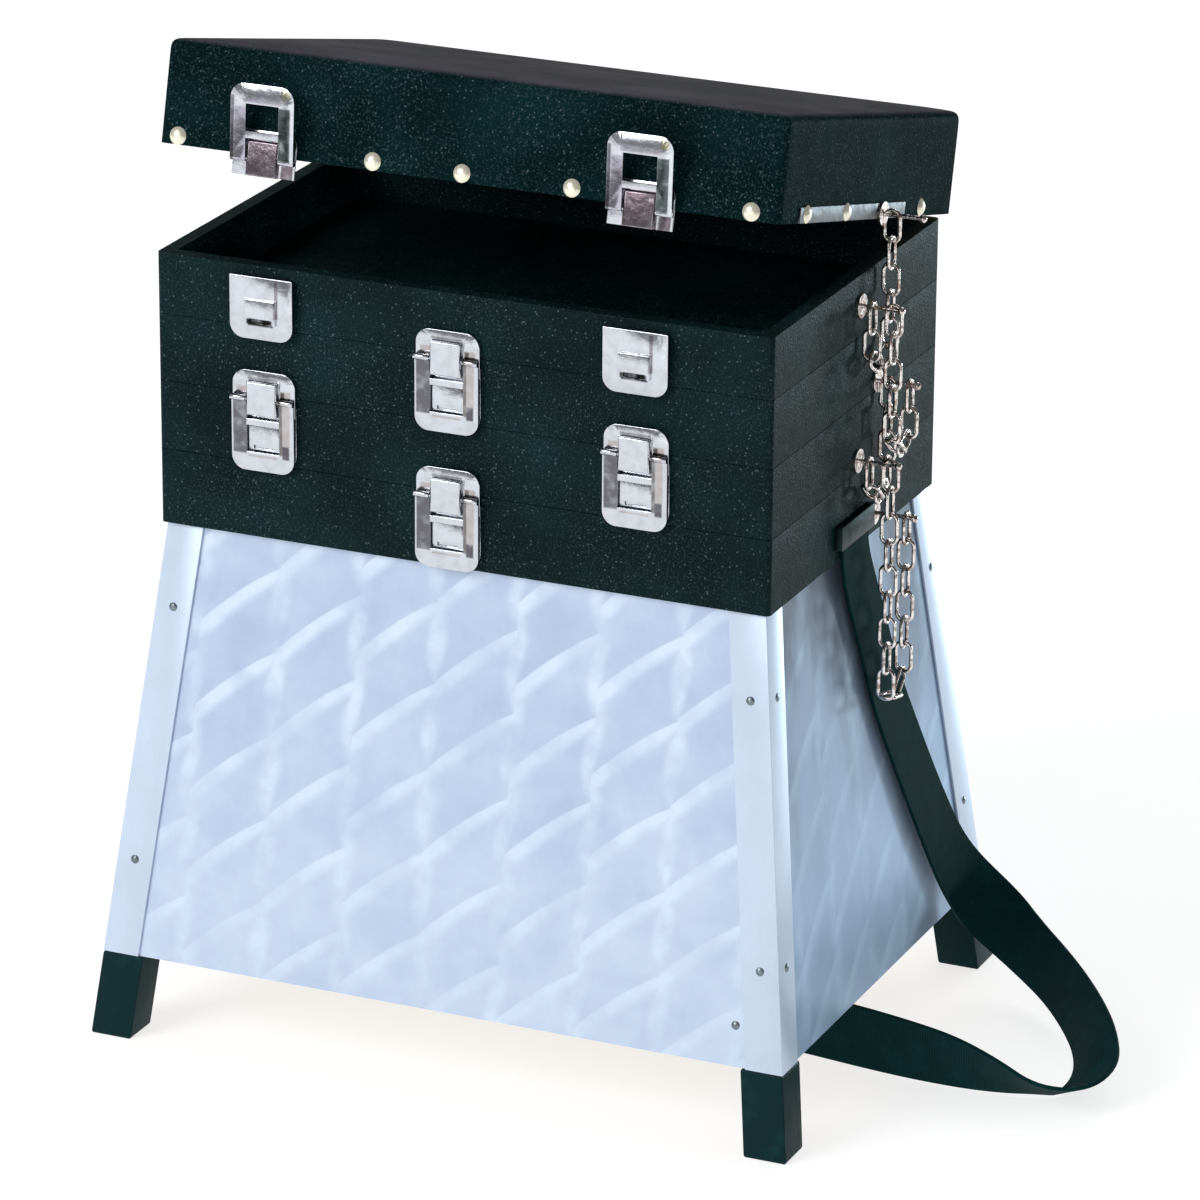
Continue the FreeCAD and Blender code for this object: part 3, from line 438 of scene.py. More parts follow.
def latch_nickel(part):
    """Bright nickel on a latch's own map, with the painted reflections and painted shade of that
    part.
    """
    tones = colours()
    finish = Finish(f"bright_nickel_{part}", 0.16, metallic=1.0)
    across, down, _ = finish.axes("UV")
    cloud = finish.noise(6 * MM, detail=4.0)
    # worn breaks the painted reflections and painted shade into patches
    worn = cloud.step(0.25, 0.55) * 0.35 + 0.65
    painted = finish.blend(cloud.step(0.4, 0.7), tones.nickel, shade(tones.nickel, 0.88))
    # Paints the reflections and shade of each place over the nickel
    for left, right, top, low, tone, strength in LATCH_PAINTED_LIGHT[part]:
        place = across.band(left, right, PAINT_SOFT_ACROSS) * down.band(top, low, PAINT_SOFT_DOWN)
        painted = finish.blend(place * worn * strength, painted, tone)
    finish.paint(painted)
    scratch = finish.noise(0.5 * MM, vector=finish.stretched((1, 0.15, 0.15)), detail=2.0)
    finish.gloss(scratch * 0.1 + 0.15)
    finish.bump(cloud, 0.2 * MM)
    return finish.material


def polished(name, tone, roughness, tarnish_and_reflection, size):
    """Plated metal with fine scratches and brownish patches of this size in mm: tarnish, and on the
    chain, where the patches are strong, a painted dark reflection.
    """
    finish = Finish(name, roughness, metallic=1.0)
    cloud = finish.noise(size * MM, detail=3.0)
    brown = shade(tone, 0.42, 0.33, 0.28)
    scratch = finish.noise(0.5 * MM, vector=finish.stretched((1, 0.15, 0.15)), detail=2.0)
    finish.paint(finish.blend(cloud.step(0.46, 0.64) * tarnish_and_reflection, tone, brown))
    finish.gloss(scratch * 0.1 + roughness)
    finish.bump(cloud, 0.5 * MM)
    return finish.material


def nail_brass():
    tones = colours()
    finish = Finish("nail_brass", 0.24, metallic=0.55)
    tarnish = finish.noise(3 * MM, detail=3.0).step(0.45, 0.75)
    finish.paint(finish.blend(tarnish * 0.2, tones.nail, shade(tones.nail, 0.6)))
    finish.gloss(tarnish * 0.15 + 0.25)
    finish.bump(tarnish, 0.06 * MM)
    return finish.material


def woven_webbing():
    """Ribs across the webbing and the herringbone of its warp, on the strap's own UV map."""
    tones = colours()
    finish = Finish("webbing", 0.75, specular=0.06)
    along, over, _ = finish.axes("UV")
    rib_pitch, rib_slant, warp_ridges = 1.6 * MM, 2.0, 26
    rib = ((along * (1 / rib_pitch) + over * rib_slant) * math.tau).math("SINE") * 0.5 + 0.5
    warp = (over * (warp_ridges * math.tau)).math("SINE") * 0.5 + 0.5
    weave = rib * 0.6 + warp * 0.4
    wear = finish.noise(12 * MM, detail=4.0).step(0.4, 0.8)
    dark = finish.blend(weave, shade(tones.webbing, 0.45), shade(tones.webbing, 1.5))
    finish.paint(finish.blend(wear * 0.3, dark, shade(tones.webbing, 2.4)))
    finish.bump(weave, 0.3 * MM)
    return finish.material


def plywood():
    tones = colours()
    finish = Finish("board", 0.6)
    grain = finish.noise(2.5 * MM, vector=finish.stretched((0.08, 1, 1)), detail=5.0)
    figure = finish.noise(40 * MM, vector=finish.stretched((0.3, 1, 1)), detail=3.0)
    streaked = finish.blend(grain.step(0.3, 0.7), shade(tones.board, 0.72), tones.board)
    finish.paint(finish.blend(figure * 0.4, streaked, shade(tones.board, 1.3)))
    finish.bump(grain, 0.12 * MM)
    return finish.material


def lining_card():
    tones = colours()
    finish = Finish("lining_card", 0.8)
    fibre = finish.noise(1.1 * MM, detail=4.0)
    finish.paint(finish.blend(fibre, shade(tones.cloth, 1.2), shade(tones.cloth, 3.0)))
    finish.bump(fibre, 0.08 * MM)
    return finish.material


def seat_foam():
    tones = colours()
    finish = Finish("seat_foam", 0.9)
    pore = finish.cells(0.8 * MM)
    finish.paint(finish.blend(pore, tones.foam_pore, tones.foam))
    finish.bump(pore, 0.2 * MM)
    return finish.material


materials = {}


def make_materials():
    tones = colours()
    materials.update(
        leathercloth=leathercloth("leathercloth", 0.055),
        leathercloth_lid=leathercloth("leathercloth_lid", 0.005),
        turned_front=turned_aluminium("turned_aluminium_wide", 0, 1.0, (1, 1, 1), 0),
        # Painted shade: the sides' copy is dimmed for sides that face away from the light, and
        # darkened below the case
        turned_side=turned_aluminium("turned_aluminium_shaded_side", 1, 0.8, (0.66, 0.77, 0.83), 0.95),
        plain_aluminium=plain_aluminium(),
        foot_block=painted_foot(),
        **{part: latch_nickel(part) for part in LATCH_PAINTED_LIGHT},
        plated_steel=polished("plated_steel", tones.steel, 0.3, 0.25, 8),
        side_strip=polished("side_strip", tones.strip, 0.4, 0.4, 8),
        dark_plate=polished("dark_plate", tones.dark_plate, 0.4, 0.3, 8),
        # The chain's strong brown mottle is a painted dark reflection among its links
        chain_wire=polished("chain_wire", tones.chain, 0.13, 0.92, 3),
        rivet_steel=polished("rivet_steel", tones.rivet, 0.35, 0.3, 3),
        nail_brass=nail_brass(),
        webbing=woven_webbing(),
        board=plywood(),
        lining_card=lining_card(),
        seat_foam=seat_foam(),
    )


# Modelling
SHARP_DEGREES, MERGE_MM = 30, 0.01


def finish_mesh(shape, name, material):
    """Writes a bmesh to a new object at the origin, with its place in its mesh."""
    mesh = bpy.data.meshes.new(name)
    shape.to_mesh(mesh)
    shape.free()
    piece = bpy.data.objects.new(name, mesh)
    bpy.context.scene.collection.objects.link(piece)
    mesh.materials.append(material)
    for face in mesh.polygons:
        face.use_smooth = True
    return piece


def dress(piece, body, node):
    """The piece rides on a body and stands in for a node of the solids."""
    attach(piece, body)
    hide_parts(node)


def eased(node, body, material, width, segments=2):
    """The node's own shape with its edges rounded, from a merged copy of its mesh."""
    shape = bmesh.new()
    shape.from_mesh(frame["nodes"][node].data)
    bmesh.ops.remove_doubles(shape, verts=shape.verts, dist=MERGE_MM * MM)
    piece = finish_mesh(shape, f"{node}_finished", material)
    bevel = piece.modifiers.new("edges", "BEVEL")
    bevel.width = width
    bevel.segments = segments
    bevel.limit_method = "ANGLE"
    bevel.angle_limit = math.radians(SHARP_DEGREES)
    bevel.harden_normals = True
    bevel.use_clamp_overlap = True
    dress(piece, body, node)
    return piece


def repaint(node, material):
    """A CAD node whose shape is right keeps its mesh and takes the material."""
    for slot in frame["nodes"][node].material_slots:
        slot.material = material


# Case and base
class SEATBOX_OT_case(bpy.types.Operator):
    """The rim and the three trays, in leathercloth"""

    bl_idname = "seat_box.case"
    bl_label = "Case"

    def execute(self, context):
        edge = sizes().edge * MM
        cloth = materials["leathercloth"]
        eased("rim_frame", "base", cloth, edge, 3)
        for tray in TRAYS:
            eased(tray, tray, cloth, edge, 3)
        return {"FINISHED"}


class SEATBOX_OT_base(bpy.types.Operator):
    """The flared base: turned sheets, corner angles, rivets, floor, battens and feet"""

    bl_idname = "seat_box.base"
    bl_label = "Base"

    FOOT_EDGES = 4

    def execute(self, context):
        edge = sizes().metal_edge * MM
        for side in ("front", "back"):
            repaint(f"{side}_panel", materials["turned_front"])
        # The side sheets take the copy that is dimmed as painted shade
        for side in ("left", "right"):
            repaint(f"{side}_panel", materials["turned_side"])
        for corner in CORNERS:
            angle = f"corner_angle_{corner}"
            eased(angle, "base", materials["plain_aluminium"], edge)
            foot_edge = self.FOOT_EDGES * edge
            eased(f"foot_{corner}", "base", materials["foot_block"], foot_edge, 3)
        repaint("panel_rivets", materials["rivet_steel"])
        repaint("floor_panel", materials["board"])
        repaint("top_battens", materials["board"])
        return {"FINISHED"}


# Lid
class SEATBOX_OT_lid(bpy.types.Operator):
    """The padded lid: its covering, foam, wooden box, lining, nails and edge strip"""

    bl_idname = "seat_box.lid"
    bl_label = "Lid"

    FOLD_SEGMENTS = 4
    SHORTEST_SPAN_MM = 30
    SHEEN_RISE_MM = 0.5
    PRESSURE, STEPS = 4, 20

    def execute(self, context):
        self.covering()
        foam, edge = materials["seat_foam"], sizes().lid_edge * MM
        eased("seat_pad", "lid", foam, edge, self.FOLD_SEGMENTS)
        repaint("lid_box", materials["board"])
        repaint("lid_lining", materials["lining_card"])
        repaint("lid_nails", materials["nail_brass"])
        strip = materials["side_strip"]
        eased("lid_side_strip", "lid", strip, sizes().metal_edge * MM)
        return {"FINISHED"}

    def covering(self):
        """A skin over the foam's top and sides, made with the lid closed and turned as it rests."""
        dims = sizes()
        closed = self.closing()
        points = [closed @ v.co for v in frame["nodes"]["seat_cover"].data.vertices]
        low = Vector([min(p[k] for p in points) for k in range(3)])
        high = Vector([max(p[k] for p in points) for k in range(3)])
        high.z -= (dims.lid_crown + dims.lid_swell) * MM

        shape = self.open_box(low, high)
        self.crown(shape, low, high)
        # This layer marks the seat's top, where a painted sheen lightens the cloth
        worn = shape.verts.layers.float.new("top_sheen")
        for vert in shape.verts:
            above = (vert.co.z - high.z) / (self.SHEEN_RISE_MM * MM)
            vert[worn] = min(1.0, max(0.0, above + 0.5))
        bmesh.ops.recalc_face_normals(shape, faces=shape.faces)
        piece = finish_mesh(shape, "seat_covering", materials["leathercloth_lid"])
        self.swell(piece, high.z - dims.lid_edge * MM / 2)
        piece.data.transform(closed.inverted())
        smooth = piece.modifiers.new("smooth", "SUBSURF")
        smooth.levels = smooth.render_levels = 1
        skin = piece.modifiers.new("skin", "SOLIDIFY")
        skin.thickness = dims.cover * MM
        skin.offset = -1
        dress(piece, "lid", "seat_cover")

    def closing(self):
        """The turn about the lid's hinge that closes the lid from rest."""
        hinge = next(joint for joint in frame["joints"] if joint["name"] == "lid_hinge")
        pivot = Vector(hinge["pos_m"])
        turn = Matrix.Rotation(-math.radians(hinge["range_deg"][0]), 4, "X")
        return Matrix.Translation(pivot) @ turn @ Matrix.Translation(-pivot)

    def open_box(self, low, high):
        """A box without its underside, with rounded folds and even cells."""
        dims = sizes()
        shape = bmesh.new()
        bmesh.ops.create_cube(shape, size=1.0)
        bmesh.ops.scale(shape, vec=high - low, verts=shape.verts)
        bmesh.ops.translate(shape, vec=(low + high) / 2, verts=shape.verts)
        under = [f for f in shape.faces if f.normal.z < -0.5]
        bmesh.ops.delete(shape, geom=under, context="FACES")
        bmesh.ops.bevel(
            shape,
            geom=[e for e in shape.edges if not e.is_boundary],
            offset=dims.lid_edge * MM,
            offset_type="OFFSET",
            segments=self.FOLD_SEGMENTS,
            profile=0.5,
            affect="EDGES",
            material=-1,
        )
        for axis in range(3):
            span = [
                e
                for e in shape.edges
                if e.calc_length() > self.SHORTEST_SPAN_MM * MM and self.runs(e, axis)
            ]
            cuts = round(max(e.calc_length() for e in span) / (dims.cloth_cell * MM)) - 1
            bmesh.ops.subdivide_edges(shape, edges=span, cuts=cuts, use_grid_fill=True)
        return shape

    def runs(self, edge, axis):
        """Whether an edge runs along this axis."""
        along = edge.verts[1].co - edge.verts[0].co
        return abs(along[axis]) > 0.9 * along.length

    def crown(self, shape, low, high):
        """Raises the top from its edges to its middle."""
        dims = sizes()
        middle = (low + high) / 2
        half = (high - low) / 2
        for vert in shape.verts:
            if vert.co.z > high.z - dims.lid_edge * MM:
                inset_x = half.x - abs(vert.co.x - middle.x)
                inset_y = half.y - abs(vert.co.y - middle.y)
                inset = max(0.0, min(inset_x, inset_y))
                rise = 1 - math.exp(-inset / (dims.crown_reach * MM))
                vert.co.z += dims.lid_crown * MM * rise

    def swell(self, piece, held_below):
        """Blows the covering's top up as cloth over its foam, held below this height on wood.

        What it moves is then scaled, so that the farthest point moves by the swell.
        """
        mesh = piece.data
        before = [v.co.copy() for v in mesh.vertices]
        held = [v.index for v in mesh.vertices if v.co.z < held_below]
        piece.vertex_groups.new(name="held").add(held, 1.0, "REPLACE")
        stuffing = piece.modifiers.new("stuffing", "CLOTH")
        stuffing.settings.vertex_group_mass = "held"
        stuffing.settings.use_pressure = True
        stuffing.settings.uniform_pressure_force = self.PRESSURE
        stuffing.settings.effector_weights.gravity = 0
        scene = bpy.context.scene
        for step in range(1, self.STEPS + 1):
            scene.frame_set(step)
        swollen = piece.evaluated_get(bpy.context.evaluated_depsgraph_get()).to_mesh()
        moves = [v.co - start for v, start in zip(swollen.vertices, before)]
        share = sizes().lid_swell * MM / max(move.length for move in moves)
        scene.frame_set(1)
        piece.modifiers.remove(stuffing)
        for vert, start, move in zip(mesh.vertices, before, moves):
            vert.co = start + move * share


# Metal fittings
class SEATBOX_OT_latches(bpy.types.Operator):
    """Latch plates, hasps and keepers in bright nickel"""

    bl_idname = "seat_box.latches"
    bl_label = "Latches"

    def execute(self, context):
        hasps = {joint["child"]: joint for joint in frame["joints"] if "hasp" in joint["name"]}
        low, middle, high, top = (
            ("hasp_centre_low",),
            ("hasp_middle_left", "hasp_middle_right"),
            ("hasp_centre_high",),
            ("hasp_lid_left", "hasp_lid_right"),
        )
        keepers = {
            "rim_keeper": ("base", low),
            "tray_three_keepers": ("tray_three", middle),
            "tray_two_keeper": ("tray_two", high),
            "tray_one_keepers": ("tray_one", top),
        }
        plates = {
            "tray_three_latch_plates": ("tray_three", low),
            "tray_two_latch_plates": ("tray_two", middle),
            "tray_one_latch_plates": ("tray_one", high),
            "lid_latch_plates": ("lid", top),
        }
        down = Vector((0, 0, -1))
        for node, (body, names) in plates.items():
            pins = [Vector(hasps[name]["pos_m"]) for name in names]
            self.fitting(node, body, "latch_lid" if body == "lid" else "latch_plate", pins, down)
        for node, (body, names) in keepers.items():
            hinge = next(j for j in frame["joints"] if j["parent"] == body and "hinge" in j["name"])
            split = hinge["pos_m"][2]
            origins = [Vector((hasps[name]["pos_m"][0], 0, split)) for name in names]
            finish = "keeper_open" if body == "tray_one" else "keeper"
            self.fitting(node, body, finish, origins, down)
        for name, joint in hasps.items():
            finish = "hasp_open" if name.startswith("hasp_lid") else "hasp_closed"
            centre = sum(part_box(name), Vector()) / 2
            pin = Vector(joint["pos_m"])
            along = (centre - pin) * Vector((0, 1, 1))
            self.fitting(name, name, finish, [pin], along.normalized())
        return {"FINISHED"}

    def fitting(self, node, body, finish, origins, down):
        """A piece with its own map, in millimetres across and down from the nearest origin."""
        piece = eased(node, body, materials[finish], sizes().metal_edge * MM)
        layer = piece.data.uv_layers.new(name="latch")
        for loop in piece.data.loops:
            place = piece.data.vertices[loop.vertex_index].co
            near = min(origins, key=lambda each: abs(place.x - each.x))
            layer.data[loop.index].uv = ((place.x - near.x) / MM, (place - near).dot(down) / MM)


class SEATBOX_OT_hardware(bpy.types.Operator):
    """Rear hinges, chain hooks and the strap's plates"""

    bl_idname = "seat_box.hardware"
    bl_label = "Hardware"

    def execute(self, context):
        for tier in ("rim", *TRAYS, "lid"):
            repaint(f"{tier}_hinge_leaves", materials["plated_steel"])
            repaint(f"{tier}_chain_hook", materials["chain_wire"])
        for tier in ("rim", *TRAYS):
            repaint(f"{tier}_hinge_pins", materials["plated_steel"])
        edge = sizes().metal_edge * MM
        # The strap's plates are darkened as a painted shadow of the chain
        eased("strap_plates", "base", materials["dark_plate"], edge)
        return {"FINISHED"}


# Stay chains
WIRE_SIDES, BEND_STEPS = 8, 16


def link_shape():
    """One link round the origin, long way along Z and flat in the YZ plane."""
    dims = sizes()
    wire = dims.link_wire / 2 * MM
    bend = dims.link_width / 2 * MM - wire
    straight = (dims.link_length - dims.link_width) / 2 * MM
    shape = bmesh.new()
    ring = bmesh.ops.create_circle(shape, segments=WIRE_SIDES, radius=wire)["verts"]
    start = Matrix.Rotation(math.pi / BEND_STEPS, 4, "X") @ Matrix.Translation((0, bend, 0))
    bmesh.ops.transform(shape, matrix=start, verts=ring)
    bmesh.ops.spin(
        shape,
        geom=shape.verts[:] + shape.edges[:],
        axis=(1, 0, 0),
        cent=(0, 0, 0),
        steps=BEND_STEPS,
        angle=math.tau,
        use_merge=True,
    )
    upper = [v for v in shape.verts if v.co.z > 0]
    lower = [v for v in shape.verts if v.co.z <= 0]
    bmesh.ops.translate(shape, vec=(0, 0, straight), verts=upper)
    bmesh.ops.translate(shape, vec=(0, 0, -straight), verts=lower)
    bmesh.ops.recalc_face_normals(shape, faces=shape.faces)
    return shape


class SEATBOX_OT_chains(bpy.types.Operator):
    """Four slack stay chains, each in a falling and a rising strand"""

    bl_idname = "seat_box.chains"
    bl_label = "Chains"

    LINKS_DOWN = {"lid": 5, "tray_one": 5, "tray_two": 4, "tray_three": 9}
    HOOK_WIRE_MM = 1.3
    SLANT_DEGREES = 30

    def execute(self, context):
        order = ["lid", *reversed(TRAYS), "rim"]
        for upper, lower in zip(order, order[1:]):
            self.chain(upper, lower)
        return {"FINISHED"}

    def hook(self, name, x):
        """Where a chain's end lies on this tier's hook."""
        low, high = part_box(f"{name}_chain_hook")
        return Vector((x, (low.y + high.y) / 2, (low.z + high.z) / 2 + self.HOOK_WIRE_MM * MM))

    def chain(self, upper, lower):
        """Both strands of a chain, which meet in the links at the bottom of the sag.

        A slanting line from the upper body to the lower is worked out for each strand.
        """
        dims = sizes()
        node = f"{upper}_chain"
        low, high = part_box(node)
        pitch = (dims.link_length - 2 * dims.link_wire - dims.link_play) * MM
        step = Vector((0, 0, -pitch))
        start = self.hook(upper, (low.x + high.x) / 2)
        end = self.hook(lower, (low.x + high.x) / 2)
        down = self.LINKS_DOWN[upper]
        falling = [start + step * k for k in range(down + 1)]
        back = round((end.z - falling[-1].z) / pitch)
        rising = [end + step * k for k in range(back, -1, -1)]
        across = rising[0] - falling[-1]
        sag = math.sqrt(pitch**2 - (across.length / 2) ** 2)
        below = Vector((0, -across.z, across.y)).normalized() * sag
        if below.z > 0:
            below.negate()
        bottom = falling[-1] + across / 2 + below

        bodies = (upper, "base" if lower == "rim" else lower)
        away = math.copysign(1.0, across.y)
        slant = Vector((0, away * math.tan(math.radians(self.SLANT_DEGREES)), -1))
        reach = (down + back + 2) * pitch / slant.length_squared
        falling_blend = (start, start + slant * reach)
        self.strand(f"{node}_falling", node, falling + [bottom], 0, bodies, falling_blend)
        slant.z = 1
        rising_blend = (end - slant * reach, end)
        self.strand(f"{node}_rising", node, [bottom] + rising, down + 1, bodies, rising_blend)

    def strand(self, name, node, joints, first, bodies, blend):
        """Links between these joints, every other one turned by a quarter."""
        shape = bmesh.new()
        for count, (a, b) in enumerate(zip(joints, joints[1:]), start=first):
            link = link_shape()
            turn = Z_AXIS.rotation_difference(b - a).to_matrix().to_4x4()
            quarter = Matrix.Rotation(math.pi / 2 * (count % 2), 4, "Z")
            place = Matrix.Translation((a + b) / 2) @ turn @ quarter
            bmesh.ops.transform(link, matrix=place, verts=link.verts)
            mesh = bpy.data.meshes.new("link")
            link.to_mesh(mesh)
            link.free()
            shape.from_mesh(mesh)
            bpy.data.meshes.remove(mesh)
        piece = finish_mesh(shape, name, materials["chain_wire"])
        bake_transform(piece)
        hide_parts(node)


# Shoulder strap: the middle of the webbing in metres and the way its width points
STRAP_ROUTE = [
    ((0.1918, -0.005, 0.331), (0, 1, 0)),
    ((0.1918, -0.005, 0.311), (0, 1, 0)),
    ((0.1935, 0.004, 0.286), (0, 1, 0.25)),
    ((0.197, 0.016, 0.254), (0, 1, 0.35)),
    ((0.2005, 0.028, 0.218), (0, 1, 0.42)),
    ((0.207, 0.05, 0.172), (0, 1, 0.5)),
    ((0.213, 0.073, 0.128), (0, 1, 0.6)),
    ((0.218, 0.097, 0.088), (0.05, 1, 0.9)),
    ((0.226, 0.116, 0.062), (0.2, 0.7, 1)),
    ((0.243, 0.121, 0.044), (0.35, 0.35, 1)),
    ((0.265, 0.111, 0.033), (0.35, 0.1, 1)),
    ((0.287, 0.094, 0.027), (0.35, 0, 1)),
    ((0.308, 0.07, 0.0235), (0.4, 0, 1)),
    ((0.327, 0.043, 0.021), (0.5, 0, 1)),
    ((0.341, 0.016, 0.0185), (0.7, 0, 0.85)),
    ((0.348, -0.008, 0.014), (0.9, 0.1, 0.6)),
    ((0.342, -0.026, 0.0105), (0.8, -0.6, 0.45)),
    ((0.325, -0.034, 0.012), (0.2, -0.9, 0.5)),
    ((0.301, -0.035, 0.017), (0, -0.6, 0.8)),
    ((0.272, -0.033, 0.02), (0, -0.3, 1)),
    ((0.24, -0.03, 0.021), (0, -0.1, 1)),
    ((0.208, -0.025, 0.021), (0, 0, 1)),
    ((0.164, -0.019, 0.021), (0, 0, 1)),
    ((0.11, -0.015, 0.021), (0, 0, 1)),
    ((0.055, -0.008, 0.021), (0, 0, 1)),
    ((0, -0.003, 0.021), (0, 0, 1)),
    ((-0.055, 0.004, 0.021), (0, 0, 1)),
    ((-0.11, 0.008, 0.021), (0, 0, 1)),
    ((-0.158, 0.014, 0.021), (0, 0, 1)),
    ((-0.198, 0.021, 0.02), (0, 0.5, 0.9)),
    ((-0.228, 0.029, 0.017), (0, 1, 0.5)),
    ((-0.248, 0.035, 0.027), (0, 1, 0.1)),
    ((-0.252, 0.038, 0.054), (0, 1, 0)),
    ((-0.243, 0.036, 0.092), (0, 1, 0)),
    ((-0.229, 0.031, 0.138), (0, 1, 0)),
    ((-0.217, 0.024, 0.184), (0, 1, 0)),
    ((-0.206, 0.014, 0.23), (0, 1, 0)),
    ((-0.197, 0.004, 0.272), (0, 1, 0)),
    ((-0.1918, -0.005, 0.311), (0, 1, 0)),
    ((-0.1918, -0.005, 0.331), (0, 1, 0)),
]


def along_spline(points):
    """The points of a smooth line that has these points as its control points."""
    curve = bpy.data.curves.new("route", "CURVE")
    curve.dimensions = "3D"
    curve.resolution_u = 6
    spline = curve.splines.new("NURBS")
    spline.points.add(len(points) - 1)
    for point, place in zip(spline.points, points):
        point.co = (*place, 1.0)
    spline.order_u = 3
    spline.use_endpoint_u = True
    holder = bpy.data.objects.new("route", curve)
    bpy.context.scene.collection.objects.link(holder)
    mesh = bpy.data.meshes.new_from_object(holder)
    found = [v.co.copy() for v in mesh.vertices]
    bpy.data.objects.remove(holder)
    bpy.data.meshes.remove(mesh)
    return found


class SEATBOX_OT_strap(bpy.types.Operator):
    """The webbing shoulder strap, from the right plate round the floor to the left plate"""

    bl_idname = "seat_box.strap"
    bl_label = "Strap"

    STRAP_LENGTH = 1.43
    SHARES = (-1.0, -0.97, -0.5, 0.0, 0.5, 0.97, 1.0)

    def execute(self, context):
        dims = sizes()
        middles = along_spline([point for point, width in STRAP_ROUTE])
        widths = along_spline([Vector(width).normalized() for point, width in STRAP_ROUTE])
        piece = self.webbing(middles, widths, dims.strap_width / 2 * MM)
        body = piece.modifiers.new("thickness", "SOLIDIFY")
        body.thickness = dims.strap_thickness * MM
        body.offset = 0
        dress(piece, "base", "shoulder_strap")
        return {"FINISHED"}

    def webbing(self, middles, widths, half_width):
        """A flat band along the middles, mapped by metres along it and shares across it."""
        shape = bmesh.new()
        rows = []
        for k, (middle, width) in enumerate(zip(middles, widths)):
            along = middles[min(k + 1, len(middles) - 1)] - middles[max(k - 1, 0)]
            along.normalize()
            width = (width - along * width.dot(along)).normalized()
            rows.append([shape.verts.new(middle + width * half_width * s) for s in self.SHARES])
        travelled = [0.0]
        for a, b in zip(middles, middles[1:]):
            travelled.append(travelled[-1] + (b - a).length)
        layer = shape.loops.layers.uv.new("weave")
        for k in range(len(rows) - 1):
            for j in range(len(self.SHARES) - 1):
                corners = ((k, j), (k, j + 1), (k + 1, j + 1), (k + 1, j))
                face = shape.faces.new([rows[row][column] for row, column in corners])
                for loop, (row, column) in zip(face.loops, corners):
                    loop[layer].uv = (travelled[row], self.SHARES[column] / 2 + 0.5)
        return finish_mesh(shape, "shoulder_webbing", materials["webbing"])


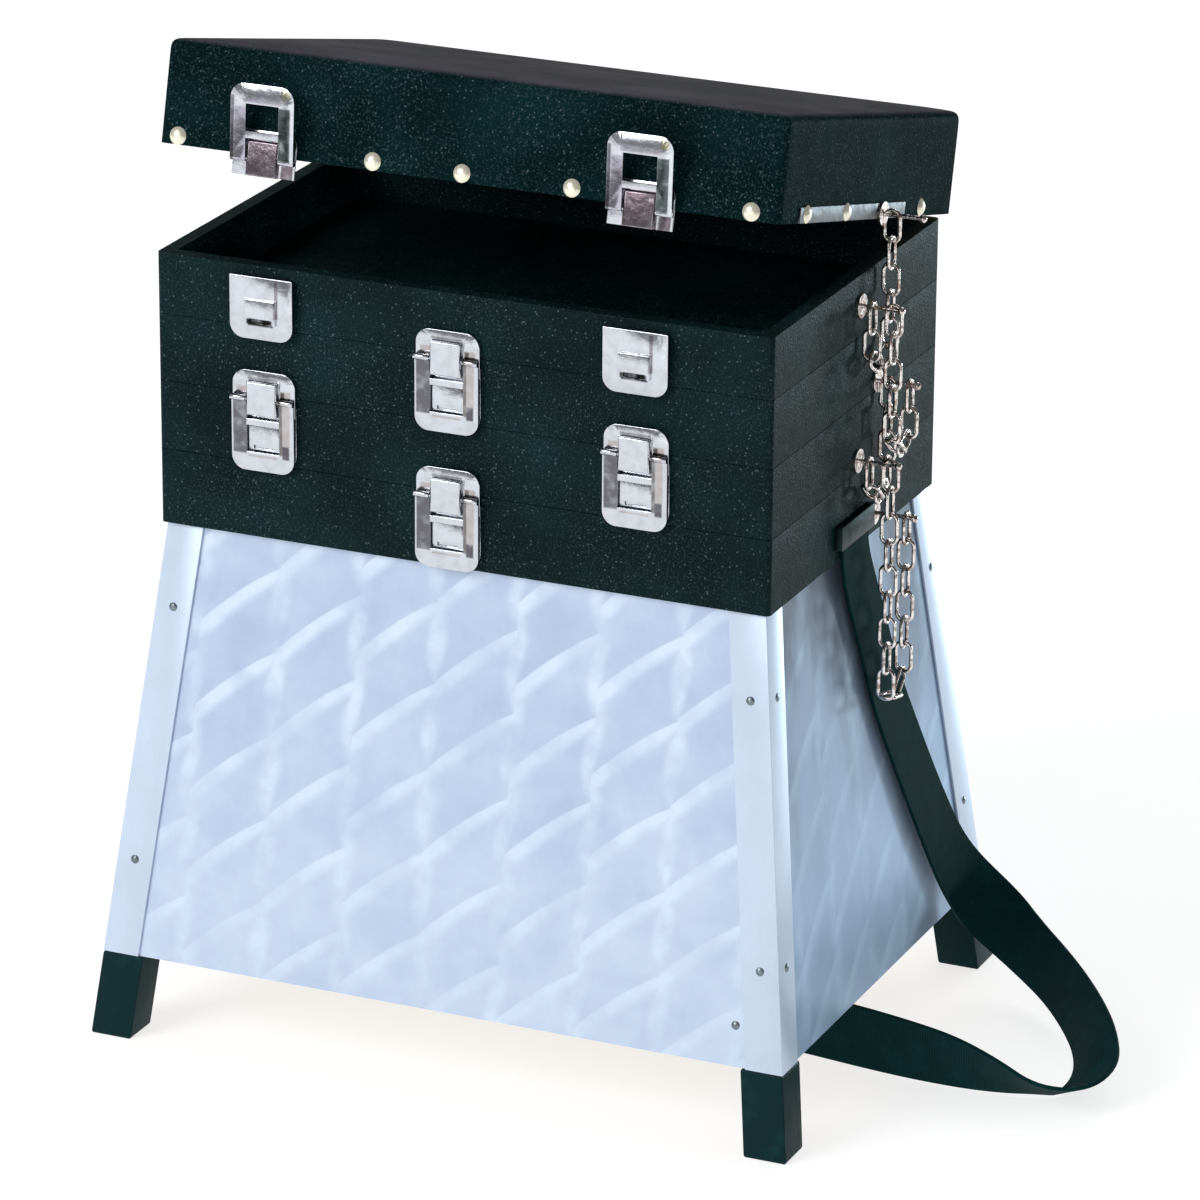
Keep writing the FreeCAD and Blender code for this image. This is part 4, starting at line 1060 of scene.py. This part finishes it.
# Stage
class SEATBOX_OT_stage(bpy.types.Operator):
    """Pale floor, soft studio light and the camera"""

    bl_idname = "seat_box.stage"
    bl_label = "Stage"

    AZIMUTH, ELEVATION, ROLL = 23.77, 20.14, 0.39
    DISTANCE, TARGET_RIGHT, TARGET_UP = 3.8445, 0.029, 0.25115
    FOCAL_PIXELS, FRAME_PIXELS, SENSOR = 6559.0, 1200.0, 36.0
    LAMPS_AIM = (0, 0, 0.3)
    SKY_LIGHT, SKY_MIRRORED_LESS = 0.36, 0.26
    FLOOR_HALF, FLOOR_GLOW = 6.0, 0.74

    def execute(self, context):
        self.camera(context)
        self.lights()
        self.world(context)
        self.floor()
        context.scene.view_settings.view_transform = "Standard"
        return {"FINISHED"}

    def camera(self, context):
        turn, tilt, roll = (math.radians(v) for v in (self.AZIMUTH, self.ELEVATION, self.ROLL))
        back = Vector(
            (math.sin(turn) * math.cos(tilt), -math.cos(turn) * math.cos(tilt), math.sin(tilt))
        )
        right = (-back).cross(Z_AXIS).normalized()
        up = right.cross(-back)
        target = right * self.TARGET_RIGHT + Z_AXIS * self.TARGET_UP
        rolled_right = right * math.cos(roll) + up * math.sin(roll)
        rolled_up = up * math.cos(roll) - right * math.sin(roll)
        data = bpy.data.cameras.new("camera")
        data.sensor_width = self.SENSOR
        data.lens = self.FOCAL_PIXELS / self.FRAME_PIXELS * self.SENSOR
        data.clip_start, data.clip_end = 0.05, 50
        camera = bpy.data.objects.new("camera", data)
        context.scene.collection.objects.link(camera)
        turned = Matrix((rolled_right, rolled_up, back)).transposed().to_4x4()
        camera.matrix_world = Matrix.Translation(target + back * self.DISTANCE) @ turned
        context.scene.camera = camera

    def lights(self):
        """Area lamps: name, place and size in metres, power in watts, and colour."""
        white, cool = (1, 1, 1), (0.75, 0.93, 1.0)
        lamps = (
            ("key", (-1.8, -2.8, 2.3), 1.8, 84.0, white),
            ("fill", (0.2, -3.2, 0.9), 1.6, 10.0, white),
            ("side", (1.7, 3.1, 0.25), 0.5, 46.0, cool),
            ("back", (-0.3, 2.6, 2.6), 2.0, 30.0, white),
        )
        for name, place, size, power, tone in lamps:
            data = bpy.data.lights.new(name, "AREA")
            data.color = tone
            data.size = size
            data.energy = power
            lamp = bpy.data.objects.new(name, data)
            bpy.context.scene.collection.objects.link(lamp)
            aim = Vector(self.LAMPS_AIM) - Vector(place)
            turn = aim.to_track_quat("-Z", "Y").to_matrix().to_4x4()
            lamp.matrix_world = Matrix.Translation(place) @ turn

    def world(self, context):
        """White to the camera, dim as light, and dimmer still in reflections."""
        world = bpy.data.worlds.new("studio")
        context.scene.world = world
        world.use_nodes = True
        tree = world.node_tree
        background = tree.nodes["Background"]
        path = tree.nodes.new("ShaderNodeLightPath")
        seen = Signal(tree, path.outputs["Is Camera Ray"])
        mirrored = Signal(tree, path.outputs["Is Glossy Ray"])
        strength = (mirrored * -self.SKY_MIRRORED_LESS + self.SKY_LIGHT).math("MAXIMUM", seen)
        tree.links.new(strength.socket, background.inputs["Strength"])
        background.inputs["Color"].default_value = (1, 1, 1, 1)

    def floor(self):
        shape = bmesh.new()
        bmesh.ops.create_grid(shape, x_segments=2, y_segments=2, size=self.FLOOR_HALF)
        finish = Finish("floor", 0.7, specular=0.0)
        grain = finish.noise(4 * MM)
        tone = colours().floor
        finish.paint(finish.blend(grain, tone, shade(tone, 0.985)))
        finish.shader.inputs["Emission Color"].default_value = (1, 1, 1, 1)
        finish.shader.inputs["Emission Strength"].default_value = self.FLOOR_GLOW
        finish_mesh(shape, "floor", finish.material)


class SEATBOX_PT_panel(bpy.types.Panel):
    """Lists the pieces and their sizes and colours"""

    bl_label = "Seat Box"
    bl_idname = "SEATBOX_PT_panel"
    bl_space_type = "VIEW_3D"
    bl_region_type = "UI"
    bl_category = "Seat Box"

    def draw(self, context):
        layout = self.layout
        for operator in OPERATORS:
            layout.operator(operator.bl_idname)
        for group in (context.scene.seat_box_sizes, context.scene.seat_box_colours):
            box = layout.box()
            for name in group.__annotations__:
                box.prop(group, name)


OPERATORS = (
    SEATBOX_OT_stage,
    SEATBOX_OT_case,
    SEATBOX_OT_base,
    SEATBOX_OT_lid,
    SEATBOX_OT_latches,
    SEATBOX_OT_hardware,
    SEATBOX_OT_chains,
    SEATBOX_OT_strap,
)
CLASSES = (SeatBoxSizes, SeatBoxColours, *OPERATORS, SEATBOX_PT_panel)


def register():
    for item in CLASSES:
        bpy.utils.register_class(item)
    bpy.types.Scene.seat_box_sizes = bpy.props.PointerProperty(type=SeatBoxSizes)
    bpy.types.Scene.seat_box_colours = bpy.props.PointerProperty(type=SeatBoxColours)


def unregister():
    del bpy.types.Scene.seat_box_colours
    del bpy.types.Scene.seat_box_sizes
    for item in reversed(CLASSES):
        bpy.utils.unregister_class(item)


def main():
    register()
    make_materials()
    bpy.ops.seat_box.stage()
    bpy.ops.seat_box.case()
    bpy.ops.seat_box.base()
    bpy.ops.seat_box.lid()
    bpy.ops.seat_box.latches()
    bpy.ops.seat_box.hardware()
    bpy.ops.seat_box.chains()
    bpy.ops.seat_box.strap()


if __name__ == "__main__":
    main()
